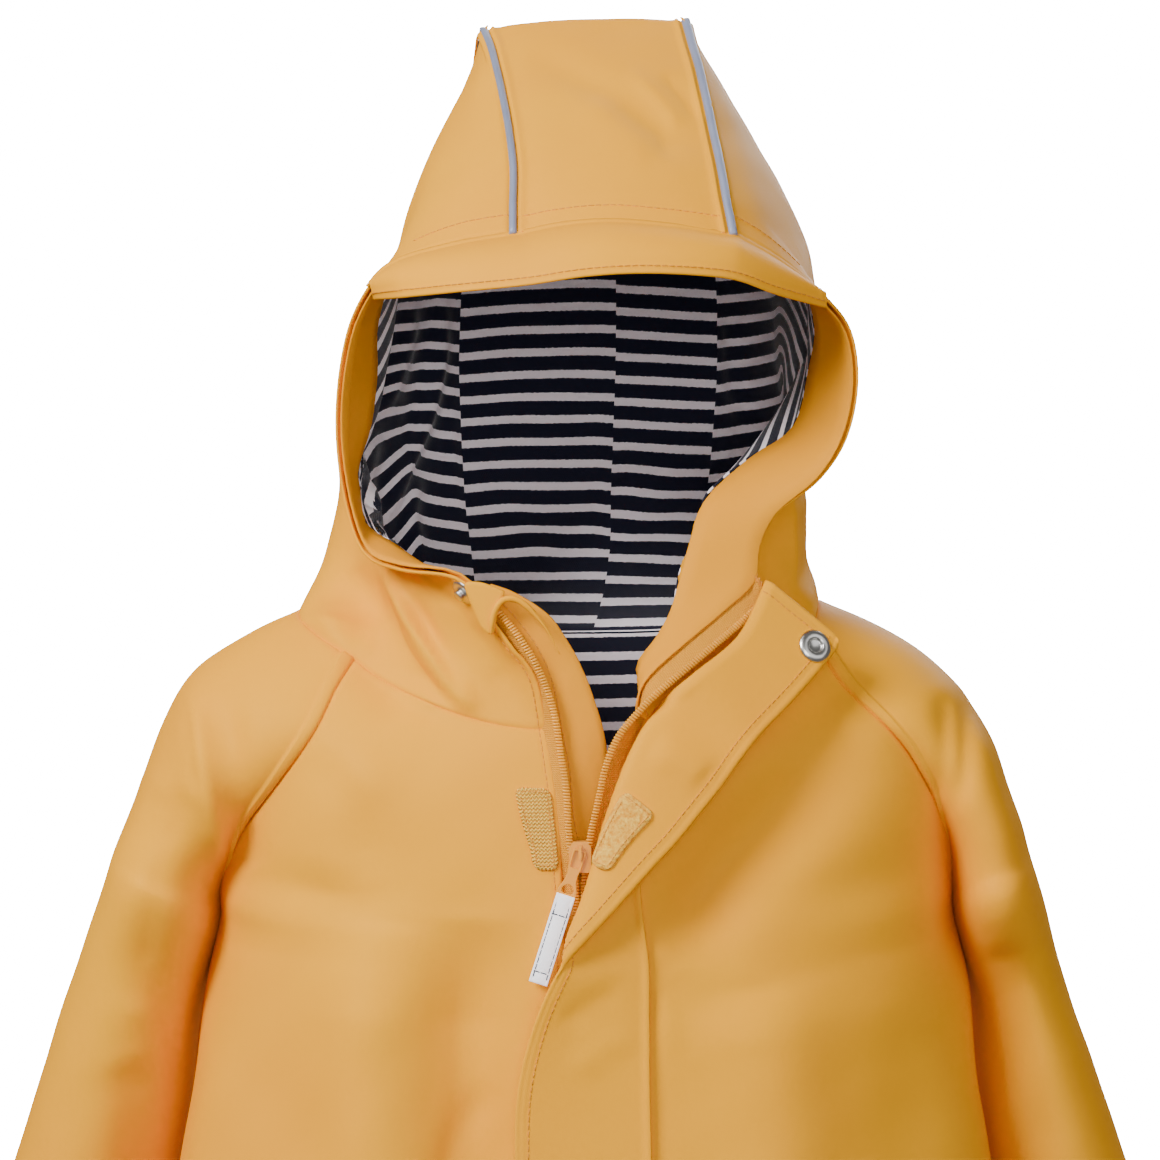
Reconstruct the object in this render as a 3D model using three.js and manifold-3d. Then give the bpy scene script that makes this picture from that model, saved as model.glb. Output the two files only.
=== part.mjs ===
// A child's hooded raincoat, filled out as if worn, with the zip open at the throat.
// Millimetres, +Z up, the front faces -Y. The origin is the middle of the neck, level with
// the points where hood and shoulders meet. "right" and "left" are the wearer's: right is -X.
import * as THREE from "three";
import loadManifold from "manifold-3d";

// Driving dimensions
const GAP = 0.44; // between pieces at a seam
const SHELL = 2.0; // coated cloth wall
const LINING = 1.2; // jersey lining and cloth facing wall
const LAYER_GAP = 0.6; // between the shell and what lies inside it
const HEM_Z = -500;
const ROUNDNESS = 0.6; // length of the curve handles in the torso's rings: 0.55 is an ellipse

// Grid counts
const BODY_STEPS = 2; // rows for each table row below the armpit
const FRONT_COLS = [0, 0.07, 0.2, 0.34, 0.48, 0.62, 0.75, 0.88, 1]; // the second is the flap's seam
const SLEEVE_COLS = 10;
const BACK_COLS = 12;
const NAPE_FROM = 4; // the back panel's columns where the hood's centre panel starts and ends
const NAPE_TO = 8;

// Both sides of the coat. sleeve: outer point qx qz, seam point mx mz, centre depth yc, half
// depth to the front vf and to the back vb, half angle of the arc, and the back seam's lift.
// The rows run from the cuff to the armpit, where the half angle is 180, and on to the neck.
const CUFF_ROWS = 5;
const SIDES = {
  right: {
    sleeve: [
      { qx: -296, qz: -372, mx: -226, mz: -397, yc: 42, vf: 40, vb: 40, angle: 180, lift: 0 },
      { qx: -278, qz: -318, mx: -206, mz: -343, yc: 43, vf: 45, vb: 45, angle: 180, lift: 0 },
      { qx: -260, qz: -262, mx: -190, mz: -287, yc: 42, vf: 49, vb: 49, angle: 180, lift: 0 },
      { qx: -243, qz: -209, mx: -177, mz: -232, yc: 38, vf: 54, vb: 52, angle: 180, lift: 0 },
      { qx: -226, qz: -160, mx: -170, mz: -181, yc: 30, vf: 58, vb: 52, angle: 180, lift: 0 },
      { qx: -212, qz: -121, mx: -160, mz: -142, yc: 14, vf: 62, vb: 52, angle: 180, lift: 0 },
      { qx: -208, qz: -109, mx: -159, mz: -126, yc: 12, vf: 60, vb: 50, angle: 165, lift: 0 },
      { qx: -202, qz: -94, mx: -155, mz: -114, yc: 11, vf: 60, vb: 48, angle: 153, lift: 0 },
      { qx: -193, qz: -73, mx: -146, mz: -96, yc: 9, vf: 60, vb: 47, angle: 130, lift: 1 },
      { qx: -183, qz: -48, mx: -128, mz: -71, yc: 6, vf: 64, vb: 49, angle: 106, lift: 3 },
      { qx: -170, qz: -28, mx: -113, mz: -48, yc: 3, vf: 64, vb: 49, angle: 86, lift: 5 },
      { qx: -149, qz: -14, mx: -105, mz: -30, yc: 1, vf: 56, vb: 47, angle: 74, lift: 6 },
      { qx: -125, qz: -3, mx: -98, mz: -15, yc: -1, vf: 45, vb: 43, angle: 66, lift: 8 },
    ],
    // Side seam from the hem to the armpit, and the front edge at each row up to the neck.
    side: [
      { x: -212, y: 4, z: HEM_Z },
      { x: -204, y: 5, z: -430 },
      { x: -193, y: 6, z: -350 },
      { x: -182, y: 7, z: -270 },
      { x: -168, y: 9, z: -195 },
    ],
    edge: [
      { x: -6, y: -104, z: HEM_Z },
      { x: -6, y: -103, z: -430 },
      { x: -6, y: -101, z: -350 },
      { x: -6, y: -99, z: -270 },
      { x: -6, y: -97, z: -205 },
      { x: -6.5, y: -95.5, z: -152 },
      { x: -7, y: -95, z: -138 },
      { x: -7, y: -94, z: -125 },
      { x: -8, y: -92.5, z: -112 },
      { x: -9, y: -90, z: -95 },
      { x: -10.5, y: -87, z: -78 },
      { x: -12.5, y: -84, z: -64 },
      { x: -14.4, y: -80, z: -52 },
    ],
    // Hood opening edge and the line where the lining starts, from the neck to the brim.
    opening: [
      { x: -14.4, y: -80, z: -52 },
      { x: -16, y: -81, z: -43 },
      { x: -19, y: -82.5, z: -31 },
      { x: -27, y: -84, z: -19 },
      { x: -38, y: -84.5, z: -4 },
      { x: -52, y: -83, z: 11 },
      { x: -76, y: -72, z: 14.5 },
      { x: -93, y: -54, z: 22 },
      { x: -102, y: -43, z: 44 },
      { x: -106, y: -41, z: 74 },
      { x: -104, y: -46, z: 103 },
      { x: -97, y: -54, z: 127 },
      { x: -82, y: -66, z: 145 },
      { x: -56, y: -78, z: 152.5 },
      { x: -30.3, y: -84, z: 156.6 },
    ],
    liningStart: [
      null,
      { x: -28, y: -77, z: -38 },
      { x: -34, y: -75, z: -24 },
      { x: -42, y: -73, z: -12 },
      { x: -52, y: -70, z: 0 },
      { x: -64, y: -61, z: 10 },
      { x: -80, y: -42, z: 22 },
      { x: -97, y: -26, z: 36 },
      { x: -101, y: -20, z: 58 },
      { x: -95, y: -16, z: 80 },
      { x: -92, y: -14, z: 102 },
      { x: -91, y: -24, z: 126 },
      { x: -78, y: -44, z: 155 },
      { x: -54, y: -61, z: 168 },
      { x: -30.5, y: -70, z: 170 },
    ],
    crown: [
      { x: -30.5, y: -70, z: 170 },
      { x: -30.7, y: -48, z: 189.4 },
      { x: -33.4, y: -20, z: 210 },
      { x: -37.3, y: 10, z: 230.6 },
      { x: -41.8, y: 40, z: 251 },
      { x: -46, y: 62, z: 264 },
    ],
    backSeam: [
      null,
      { x: -50, y: 88, z: 12 },
      { x: -56, y: 108, z: 62 },
      { x: -58, y: 118, z: 122 },
      { x: -55, y: 114, z: 184 },
      { x: -50, y: 97, z: 236 },
      { x: -46, y: 62, z: 264 },
    ],
    bulge: { x: 18, y: -10, z: 0 },
    flow: 0.75,
    flowReach: 14,
  },
  left: {
    sleeve: [
      { qx: 288, qz: -369, mx: 219, mz: -393, yc: 44, vf: 41, vb: 41, angle: 180, lift: 0 },
      { qx: 270, qz: -316, mx: 202, mz: -340, yc: 46, vf: 46, vb: 46, angle: 180, lift: 0 },
      { qx: 252, qz: -262, mx: 190, mz: -284, yc: 46, vf: 51, vb: 51, angle: 180, lift: 0 },
      { qx: 234, qz: -210, mx: 181, mz: -229, yc: 44, vf: 57, vb: 53, angle: 180, lift: 0 },
      { qx: 217, qz: -161, mx: 176, mz: -176, yc: 38, vf: 62, vb: 54, angle: 180, lift: 0 },
      { qx: 203, qz: -121, mx: 166, mz: -138, yc: 14, vf: 64, vb: 56, angle: 180, lift: 0 },
      { qx: 199, qz: -108, mx: 164.5, mz: -122, yc: 12, vf: 60, vb: 52, angle: 165, lift: 0 },
      { qx: 195, qz: -94, mx: 162.5, mz: -106, yc: 11, vf: 60, vb: 50, angle: 153, lift: 0 },
      { qx: 188, qz: -76, mx: 155, mz: -85, yc: 9, vf: 59, vb: 47, angle: 130, lift: 1 },
      { qx: 179, qz: -54, mx: 142, mz: -62, yc: 6, vf: 60, vb: 49, angle: 108, lift: 2 },
      { qx: 166, qz: -33, mx: 127, mz: -44, yc: 3, vf: 60, vb: 49, angle: 88, lift: 3 },
      { qx: 142, qz: -14, mx: 112, mz: -28, yc: 1, vf: 51, vb: 46, angle: 76, lift: 4 },
      { qx: 106, qz: 2.6, mx: 100, mz: -9, yc: 0, vf: 39, vb: 41, angle: 66, lift: 3 },
    ],
    side: [
      { x: 214, y: 4, z: HEM_Z },
      { x: 206, y: 5, z: -430 },
      { x: 196, y: 6, z: -350 },
      { x: 186, y: 7, z: -270 },
      { x: 174, y: 9, z: -195 },
    ],
    edge: [
      { x: 6, y: -104, z: HEM_Z },
      { x: 6, y: -103, z: -430 },
      { x: 6, y: -101, z: -350 },
      { x: 6, y: -99, z: -270 },
      { x: 6, y: -97, z: -205 },
      { x: 6.5, y: -95.5, z: -152 },
      { x: 7, y: -95, z: -138 },
      { x: 7.5, y: -94, z: -125 },
      { x: 9, y: -93, z: -112 },
      { x: 12, y: -91, z: -95 },
      { x: 16, y: -89, z: -78 },
      { x: 21, y: -86.5, z: -62 },
      { x: 26, y: -84, z: -48 },
    ],
    opening: [
      { x: 26, y: -84, z: -48 },
      { x: 27, y: -86, z: -41 },
      { x: 31, y: -85, z: -31 },
      { x: 45, y: -80, z: -18 },
      { x: 60, y: -72, z: -5 },
      { x: 74, y: -64, z: 9 },
      { x: 76.5, y: -60, z: 25 },
      { x: 84, y: -60, z: 39 },
      { x: 102, y: -62, z: 53 },
      { x: 114, y: -64, z: 71 },
      { x: 119, y: -64, z: 95 },
      { x: 116, y: -62, z: 118 },
      { x: 104, y: -64, z: 133 },
      { x: 84, y: -75, z: 147 },
      { x: 66.5, y: -84, z: 156 },
    ],
    liningStart: [
      null,
      { x: 30, y: -78, z: -39 },
      { x: 27, y: -76, z: -27 },
      { x: 33, y: -73, z: -16 },
      { x: 39, y: -68, z: -3 },
      { x: 43, y: -64, z: 11 },
      { x: 47, y: -60, z: 25 },
      { x: 54, y: -53, z: 43 },
      { x: 74, y: -43, z: 61 },
      { x: 95, y: -34, z: 76 },
      { x: 102, y: -33, z: 102 },
      { x: 105, y: -36, z: 122 },
      { x: 98, y: -46, z: 143 },
      { x: 80, y: -58, z: 164 },
      { x: 64, y: -68, z: 172 },
    ],
    crown: [
      { x: 64, y: -68, z: 172 },
      { x: 62.5, y: -50, z: 187 },
      { x: 60, y: -22, z: 208 },
      { x: 56.5, y: 8, z: 231 },
      { x: 52.7, y: 38, z: 252 },
      { x: 50, y: 62, z: 268 },
    ],
    backSeam: [
      null,
      { x: 54, y: 88, z: 14 },
      { x: 62, y: 108, z: 62 },
      { x: 66, y: 118, z: 122 },
      { x: 63, y: 114, z: 184 },
      { x: 56, y: 98, z: 238 },
      { x: 50, y: 62, z: 268 },
    ],
    bulge: { x: -6, y: -6, z: 0 },
    flow: 0,
    flowReach: 14,
  },
};

// How far each row of a body panel has turned back where it meets the seam, in degrees.
const FRONT_TURN = [92, 92, 92, 92, 92, 92, 84, 72, 58, 46, 38, 36, 42];
const BACK_TURN = [88, 88, 88, 88, 87, 84, 78, 70, 58, 46, 40, 40, 42];
const BACK_CENTRE = [
  { x: 0, y: 97, z: HEM_Z },
  { x: 0, y: 94, z: -430 },
  { x: 0, y: 90, z: -350 },
  { x: 0, y: 86, z: -270 },
  { x: 0, y: 83, z: -205 },
  { x: 0, y: 81, z: -152 },
  { x: 0, y: 80, z: -136 },
  { x: -1, y: 79, z: -120 },
  { x: -2, y: 77, z: -101 },
  { x: -3, y: 74, z: -79 },
  { x: -4, y: 69, z: -56 },
  { x: -5, y: 63, z: -34 },
  { x: -6, y: 57, z: -14 },
];
const BRIM = [
  { x: -10, y: -89, z: 160 },
  { x: 15, y: -91, z: 161.5 },
  { x: 41, y: -89.5, z: 159.5 },
];
// Storm flap: free edge on every row of the body from the hem up, and the roll's crest where
// its upper part is turned back. Where it lies flat, "fold" is the fold column's share of the
// width. The top rows stand on the hood's front edge instead.
const FLAP_ROWS = [
  { fx: -27, fy: -108.5, fz: -500 },
  { fx: -27, fy: -108, fz: -465 },
  { fx: -27, fy: -107.5, fz: -430 },
  { fx: -27, fy: -107, fz: -390 },
  { fx: -27, fy: -106.5, fz: -350 },
  { fx: -27, fy: -105.5, fz: -310 },
  { fx: -27, fy: -104.5, fz: -270 },
  { fx: -26.8, fy: -103.5, fz: -237, fold: 0.52 },
  { fx: -26, fy: -103.5, fz: -205, fold: 0.63 },
  { fx: -20, fy: -104.5, fz: -178, fold: 0.77 },
  { fx: -10, fy: -106.5, fz: -154, fold: 0.94 },
  { fx: 0, fy: -108.5, fz: -141.5, rx: -5.5, ry: -105, rz: -139 },
  { fx: 11, fy: -109, fz: -129.5, rx: 0, ry: -104.5, rz: -125 },
  { fx: 20.5, fy: -108, fz: -119, rx: 4.2, ry: -103.5, rz: -112 },
  { fx: 30, fy: -106, fz: -108.5, rx: 8.8, ry: -101.5, rz: -95 },
  { fx: 40, fy: -103.5, fz: -98, rx: 14.5, ry: -99.5, rz: -78 },
  { fx: 50, fy: -100.5, fz: -86, rx: 21, ry: -97, rz: -62 },
  { fx: 59, fy: -97.5, fz: -75, rx: 29.5, ry: -94, rz: -48 },
];
const FLAP_TOP_ROWS = [
  { sx: 39.5, sy: -92, sz: -37.5, fx: 67, fy: -95, fz: -64, fold: 0.1 },
  { sx: 51, sy: -91, sz: -28, fx: 76, fy: -91, fz: -53, fold: 0.2 },
  { sx: 69, sy: -81, sz: -13, fx: 92, fy: -82, fz: -37, fold: 0.32 },
  { sx: 81, sy: -70, sz: 10, fx: 112, fy: -66, fz: -15, fold: 0.43 },
];
const FOLD_COL = 3; // the flap's column on the crest of its roll
const FLAP_COLS = 7;

// Zip: where the two rows of teeth run, from the hem up. The first four rows are shared.
const ZIP = {
  right: [
    { x: -1.6, y: -103, z: HEM_Z },
    { x: -1.6, y: -101, z: -380 },
    { x: -1.6, y: -97, z: -250 },
    { x: -1.6, y: -92.5, z: -150 },
    { x: -2, y: -91.5, z: -116 },
    { x: -4.4, y: -91.3, z: -99 },
    { x: -6, y: -89, z: -76 },
    { x: -8.4, y: -86.5, z: -61 },
    { x: -10.5, y: -85, z: -47.5 },
    { x: -14, y: -84, z: -35 },
    { x: -19.5, y: -84, z: -23 },
    { x: -27, y: -84, z: -11.5 },
    { x: -34, y: -84, z: -3 },
  ],
  left: [
    { x: 1.6, y: -103, z: HEM_Z },
    { x: 1.6, y: -101, z: -380 },
    { x: 1.6, y: -97, z: -250 },
    { x: 1.6, y: -92.5, z: -150 },
    { x: 2, y: -91.5, z: -116 },
    { x: 4, y: -91.5, z: -99 },
    { x: 7.5, y: -91.5, z: -83 },
    { x: 11, y: -91.5, z: -67 },
    { x: 16, y: -92, z: -55 },
    { x: 24, y: -92.5, z: -45 },
    { x: 33, y: -91.5, z: -36 },
    { x: 44, y: -88, z: -27 },
    { x: 55, y: -83, z: -18 },
    { x: 66, y: -76, z: -9 },
    { x: 75, y: -69, z: -1 },
  ],
};
const TEETH = { width: 2.6, depth: 2.2 };
const TAPE = { width: 5, thickness: 1 };

// Guard behind the zip: its free edge from the hem up.
const GUARD = [
  { x: 14, y: -92, z: HEM_Z },
  { x: 14, y: -90, z: -380 },
  { x: 14, y: -87, z: -250 },
  { x: 14, y: -83, z: -150 },
  { x: 13.5, y: -81, z: -98 },
  { x: 11, y: -79, z: -60 },
  { x: 5.5, y: -78, z: -39 },
  { x: 0, y: -78, z: -25 },
  { x: -5.5, y: -78, z: -15 },
  { x: -13.5, y: -79, z: -4 },
  { x: -27, y: -79, z: 5 },
  { x: -37.6, y: -79, z: 9 },
];

// Small vector helpers on [x, y, z]
const xyz = (p) => [p.x, p.y, p.z];
const add = (a, b, s = 1) => a.map((v, i) => v + b[i] * s);
const sub = (a, b) => add(a, b, -1);
const mix = (a, b, t) => a.map((v, i) => v + (b[i] - v) * t);
const length = (a) => Math.hypot(...a);
const dot = (a, b) => a[0] * b[0] + a[1] * b[1] + a[2] * b[2];
const unit = (a) => a.map((v) => v / (length(a) || 1));
const cross = (a, b) => [
  a[1] * b[2] - a[2] * b[1],
  a[2] * b[0] - a[0] * b[2],
  a[0] * b[1] - a[1] * b[0],
];
const range = (n) => Array.from({ length: n }, (_, i) => i);

// Smooth curve through rows of numbers: t runs from 0 to 1, evenly by row.
function through(rows, t) {
  const last = rows.length - 1;
  const at = Math.min(Math.max(t, 0), 1) * last;
  const i = Math.min(Math.floor(at), last - 1);
  const f = at - i;
  const row = (k) => rows[Math.min(Math.max(k, 0), last)];
  return rows[i].map((_, c) => {
    const [a, b, d, e] = [row(i - 1)[c], row(i)[c], row(i + 1)[c], row(i + 2)[c]];
    return b + 0.5 * f * (d - a + f * (2 * a - 5 * b + 4 * d - e + f * (3 * (b - d) + e - a)));
  });
}

// Point of a cubic curve with four control points.
function bezier([a, b, c, d], t) {
  const r = 1 - t;
  return a.map(
    (_, k) => r * r * r * a[k] + 3 * t * r * r * b[k] + 3 * t * t * r * c[k] + t * t * t * d[k],
  );
}

// Sleeve: u runs from the front seam over the outside to the back seam, v from cuff to neck.
function sleevePoint(side, u, v) {
  const columns = ["qx", "qz", "mx", "mz", "yc", "vf", "vb", "angle", "lift"];
  const rows = side.sleeve.map((r) => columns.map((c) => r[c]));
  const [qx, qz, mx, mz, yc, vf, vb, angle, lift] = through(rows, v);
  const half = (Math.min(angle, 180) * Math.PI) / 180;
  const theta = half * (2 * u - 1);
  const rise = (Math.cos(theta) - Math.cos(half)) / (1 - Math.cos(half));
  const depth = Math.sin(theta) * (theta < 0 ? vf : vb);
  return [mx + (qx - mx) * rise, yc + depth, mz + (qz - mz) * rise + lift * Math.sin(theta)];
}

// The seam that a body panel shares with the side or sleeve, at row index r of the tables.
function seamPoint(side, r, u) {
  const body = side.side.length;
  if (r >= body) return sleevePoint(side, u, r / (side.sleeve.length - 1));
  const armpit = sleevePoint(side, 0, body / (side.sleeve.length - 1));
  return through([...side.side.map(xyz), armpit], r / body);
}

// One row of a body panel, from its middle point to its seam. It leaves the middle sideways
// and reaches the seam turned back by so many degrees.
function halfRow(middle, seam, degrees, t) {
  const turn = (degrees * Math.PI) / 180;
  const gap = sub(seam, middle);
  const out = Math.sign(gap[0]);
  const back = Math.abs(gap[1] / Math.sin(turn));
  const aside = Math.abs(gap[0]) - back * Math.cos(turn);
  const first = [middle[0] + out * aside * ROUNDNESS, middle[1], middle[2]];
  const second = [
    seam[0] - out * back * Math.cos(turn) * ROUNDNESS,
    seam[1] - gap[1] * ROUNDNESS,
    middle[2] + gap[2] / 3,
  ];
  return bezier([middle, first, second, seam], t);
}

// Row indexes of the body grids: closer together below the armpit than in the tables.
const LAST_ROW = BACK_CENTRE.length - 1;
const BODY_ROWS = [
  ...range(CUFF_ROWS * BODY_STEPS).map((i) => i / BODY_STEPS),
  ...range(LAST_ROW - CUFF_ROWS + 1).map((i) => CUFF_ROWS + i),
];
const single = (list, r) => through(list.map((v) => [v]), r / LAST_ROW)[0];

function frontGrid(side) {
  const edge = side.edge.map(xyz);
  return BODY_ROWS.map((r) => {
    const middle = through(edge, r / LAST_ROW);
    const seam = seamPoint(side, r, 0);
    const turn = single(FRONT_TURN, r);
    return FRONT_COLS.map((t) => halfRow(middle, seam, turn, t));
  });
}

function backGrid() {
  const half = BACK_COLS / 2;
  return BODY_ROWS.map((r) => {
    const middle = through(BACK_CENTRE.map(xyz), r / LAST_ROW);
    const turn = single(BACK_TURN, r);
    const one = (side) => {
      const seam = seamPoint(side, r, 1);
      return range(half + 1).map((c) => halfRow(middle, seam, turn, c / half));
    };
    return [...one(SIDES.right).reverse(), ...one(SIDES.left).slice(1)];
  });
}

function sleeveGrid(side) {
  return BODY_ROWS.map((r) =>
    range(SLEEVE_COLS + 1).map((c) => sleevePoint(side, c / SLEEVE_COLS, r / LAST_ROW)),
  );
}

// Smoothly blended patch inside four edges. Each edge is a list of points; the lists of
// opposite edges have the same length, and share their end points with the other two.
function patch(bottom, top, start, end, bulge = [0, 0, 0]) {
  const along = (points) => {
    const run = [0];
    for (let i = 1; i < points.length; i++)
      run.push(run[i - 1] + length(sub(points[i], points[i - 1])));
    return run.map((v) => v / run[run.length - 1]);
  };
  const us = along(bottom).map((v, i) => (v + along(top)[i]) / 2);
  const vs = along(start).map((v, i) => (v + along(end)[i]) / 2);
  const [p00, p10] = [bottom[0], bottom[bottom.length - 1]];
  const [p01, p11] = [top[0], top[top.length - 1]];
  return vs.map((v, j) =>
    us.map((u, i) => {
      const full = 16 * u * (1 - u) * v * (1 - v);
      return [0, 1, 2].map(
        (k) =>
          (1 - v) * bottom[i][k] +
          v * top[i][k] +
          (1 - u) * start[j][k] +
          u * end[j][k] -
          ((1 - u) * (1 - v) * p00[k] + u * (1 - v) * p10[k]) -
          ((1 - u) * v * p01[k] + u * v * p11[k]) +
          full * bulge[k],
      );
    }),
  );
}

const sample = (rows, count) => range(count + 1).map((i) => through(rows, i / count));

// The neckline from the front edge to the nape corner, as the body panels' own top points.
function neckline(front, sleeve, back, isRight) {
  const top = (grid) => grid[grid.length - 1];
  const nape = isRight
    ? top(back).slice(0, NAPE_FROM + 1)
    : top(back).slice(NAPE_TO).reverse();
  return [
    ...top(front),
    ...top(sleeve).slice(1),
    ...nape.slice(1),
  ];
}

// Hood side: the strip from the opening edge to the lining line, then the main part.
function hoodSide(side, neck) {
  const count = side.opening.length - 1;
  const start = [neck[1], ...side.liningStart.slice(1).map(xyz)];
  const nape = neck[neck.length - 1];
  const seam = sample([nape, ...side.backSeam.slice(1).map(xyz)], count);
  const bottom = neck.slice(1);
  const top = sample(side.crown.map(xyz), bottom.length - 1);
  const main = patch(bottom, top, start, seam, xyz(side.bulge));
  const edge = [neck[0], ...side.opening.slice(1).map(xyz)];
  return main.map((row, j) => [edge[j], ...(j > 0 && j < count ? flowing(row, edge[j], side) : row)]);
}

// Lets a row run on from the strip beside it before it bends away.
function flowing(row, edge, { flow, flowReach }) {
  const way = unit(sub(row[0], edge));
  return row.map((p) => {
    const far = length(sub(p, row[0]));
    return mix(p, add(row[0], way, far), flow * Math.exp(-far / flowReach));
  });
}

// Hood centre panel, from the brim over the crown and down to the nape.
function hoodCentre(right, left, back) {
  const top = (grid) => grid[grid.length - 1];
  const column = (grid) => grid.map((row) => row[row.length - 1]);
  const line = (grid) => [...top(grid), ...column(grid).reverse().slice(1)];
  const [a, b] = [line(right), line(left)];
  const nape = top(back).slice(NAPE_FROM, NAPE_TO + 1);
  const brim = sample([a[0], ...BRIM.map(xyz), b[0]], NAPE_TO - NAPE_FROM);
  return patch(brim, nape, a, b);
}

// Walls

// Mean of the unit normals of the cells that meet at each point of a grid, on its outer side.
function normalsOf(grid, flip) {
  const cells = grid.slice(1).map((row, j) =>
    row.slice(1).map((p, i) => {
      const n = unit(cross(sub(p, grid[j][i]), sub(row[i], grid[j][i + 1])));
      return flip ? n.map((v) => -v) : n;
    }),
  );
  return grid.map((row, j) =>
    row.map((_, i) => {
      const near = [cells[j - 1], cells[j]].flatMap((line) => [line?.[i - 1], line?.[i]]);
      const found = near.filter(Boolean);
      return found.reduce((sum, n) => add(sum, n, 1 / found.length), [0, 0, 0]);
    }),
  );
}

// Offset direction of a wall: longer where its sides meet at an angle, so that each of them
// keeps its thickness.
const MITRE_LIMIT = 0.6;
const mitred = (mean) => unit(mean).map((v) => v / Math.max(length(mean), MITRE_LIMIT));

const keyOf = (p) => p.map((v) => Math.round(v * 20)).join();

// Panels that share seam points get one common normal there, so that their walls meet. Walls
// that lie back to back at the armpit keep their own.
function shareNormals(panels) {
  const met = new Map();
  const everyPoint = (visit) =>
    panels.forEach((p) =>
      p.grid.forEach((row, j) => row.forEach((point, i) => visit(p, j, i, keyOf(point)))),
    );
  for (const p of panels) p.means = normalsOf(p.grid, p.flip);
  everyPoint((p, j, i, key) => met.set(key, [...(met.get(key) ?? []), p.means[j][i]]));
  for (const p of panels) p.normals = p.means.map((row) => [...row]);
  everyPoint((p, j, i, key) => {
    const near = met.get(key).filter((n) => dot(unit(n), unit(p.means[j][i])) > -0.2);
    p.normals[j][i] = mitred(near.reduce((sum, n) => add(sum, n, 1 / near.length), [0, 0, 0]));
  });
}

// Moves a grid's rim inwards along the cloth, by half the seam gap or by a stated amount.
function trimmed(grid, { bottom = GAP / 2, top = GAP / 2, start = GAP / 2, end = GAP / 2 } = {}) {
  const out = grid.map((row) => row.map((p) => [...p]));
  const [rows, cols] = [grid.length, grid[0].length];
  const pull = (j, i, j2, i2, by) => {
    const way = unit(sub(grid[j2][i2], grid[j][i]));
    out[j][i] = add(out[j][i], way, by);
  };
  for (let i = 0; i < cols; i++) {
    pull(0, i, 1, i, bottom);
    pull(rows - 1, i, rows - 2, i, top);
  }
  for (let j = 0; j < rows; j++) {
    pull(j, 0, j, 1, start);
    pull(j, cols - 1, j, cols - 2, end);
  }
  return out;
}

// Closed solid between a grid moved by "outer" and by "inner" along its normals.
function wall(grid, normals, outer, inner) {
  const [rows, cols] = [grid.length, grid[0].length];
  const layer = (by) => grid.flatMap((row, j) => row.map((p, i) => add(p, normals[j][i], by)));
  const points = [...layer(outer), ...layer(inner)];
  const under = rows * cols;
  const faces = [];
  const quad = (a, b, c, d) => faces.push([a, b, c], [a, c, d]);
  for (let j = 0; j < rows - 1; j++)
    for (let i = 0; i < cols - 1; i++) {
      const [a, b] = [j * cols + i, j * cols + i + 1];
      const [c, d] = [b + cols, a + cols];
      quad(a, b, c, d);
      faces.push([under + a, under + c, under + b], [under + a, under + d, under + c]);
    }
  const rim = [
    ...range(cols - 1),
    ...range(rows - 1).map((j) => j * cols + cols - 1),
    ...range(cols - 1).map((i) => rows * cols - 1 - i),
    ...range(rows - 1).map((j) => (rows - 1 - j) * cols),
  ];
  rim.forEach((a, i) => {
    const b = rim[(i + 1) % rim.length];
    quad(b, a, under + a, under + b);
  });
  return solidOf(points, faces);
}

// Geometry from points and triangles, turned inside out if its volume is negative.
function solidOf(points, faces) {
  const volume = faces.reduce((sum, [a, b, c]) => {
    const n = cross(points[b], points[c]);
    return sum + points[a][0] * n[0] + points[a][1] * n[1] + points[a][2] * n[2];
  }, 0);
  const turned = volume < 0 ? faces.map(([a, b, c]) => [a, c, b]) : faces;
  const geometry = new THREE.BufferGeometry();
  geometry.setAttribute("position", new THREE.Float32BufferAttribute(points.flat(), 3));
  geometry.setIndex(turned.flat());
  geometry.computeVertexNormals();
  return geometry;
}

const crop = (grid, j0, j1, i0, i1) => grid.slice(j0, j1 + 1).map((r) => r.slice(i0, i1 + 1));

// Materials
const paint = (color, roughness, metalness = 0) =>
  new THREE.MeshStandardMaterial({ color, roughness, metalness });
const shellCloth = paint(0xe0a850, 0.55);
const liningCloth = paint(0x1a1a28, 0.9);
const pipingTape = paint(0xa8aab2, 0.4);
const metal = paint(0xc4c4c0, 0.3, 1);
const hookTape = paint(0xe8b058, 0.85);
const whiteTape = paint(0xe8e8ee, 0.5);

const coat = new THREE.Group();
function piece(name, geometry, material) {
  const mesh = new THREE.Mesh(geometry, material);
  mesh.name = name;
  coat.add(mesh);
  return mesh;
}

// Shell panels
const front = { right: frontGrid(SIDES.right), left: frontGrid(SIDES.left) };
const sleeve = { right: sleeveGrid(SIDES.right), left: sleeveGrid(SIDES.left) };
const back = backGrid();
const neck = {
  right: neckline(front.right, sleeve.right, back, true),
  left: neckline(front.left, sleeve.left, back, false),
};
const hood = { right: hoodSide(SIDES.right, neck.right), left: hoodSide(SIDES.left, neck.left) };
const centre = hoodCentre(hood.right, hood.left, back);

const panels = {
  front_right: { grid: front.right, flip: true },
  front_left: { grid: front.left, flip: false },
  sleeve_right: { grid: sleeve.right, flip: true },
  sleeve_left: { grid: sleeve.left, flip: false },
  back_panel: { grid: back, flip: true },
  hood_side_right: { grid: hood.right, flip: true },
  hood_side_left: { grid: hood.left, flip: false },
  hood_centre: { grid: centre, flip: false },
};
shareNormals(Object.values(panels));
for (const [name, p] of Object.entries(panels))
  piece(name, wall(trimmed(p.grid), p.normals, 0, -SHELL), shellCloth);

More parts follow.
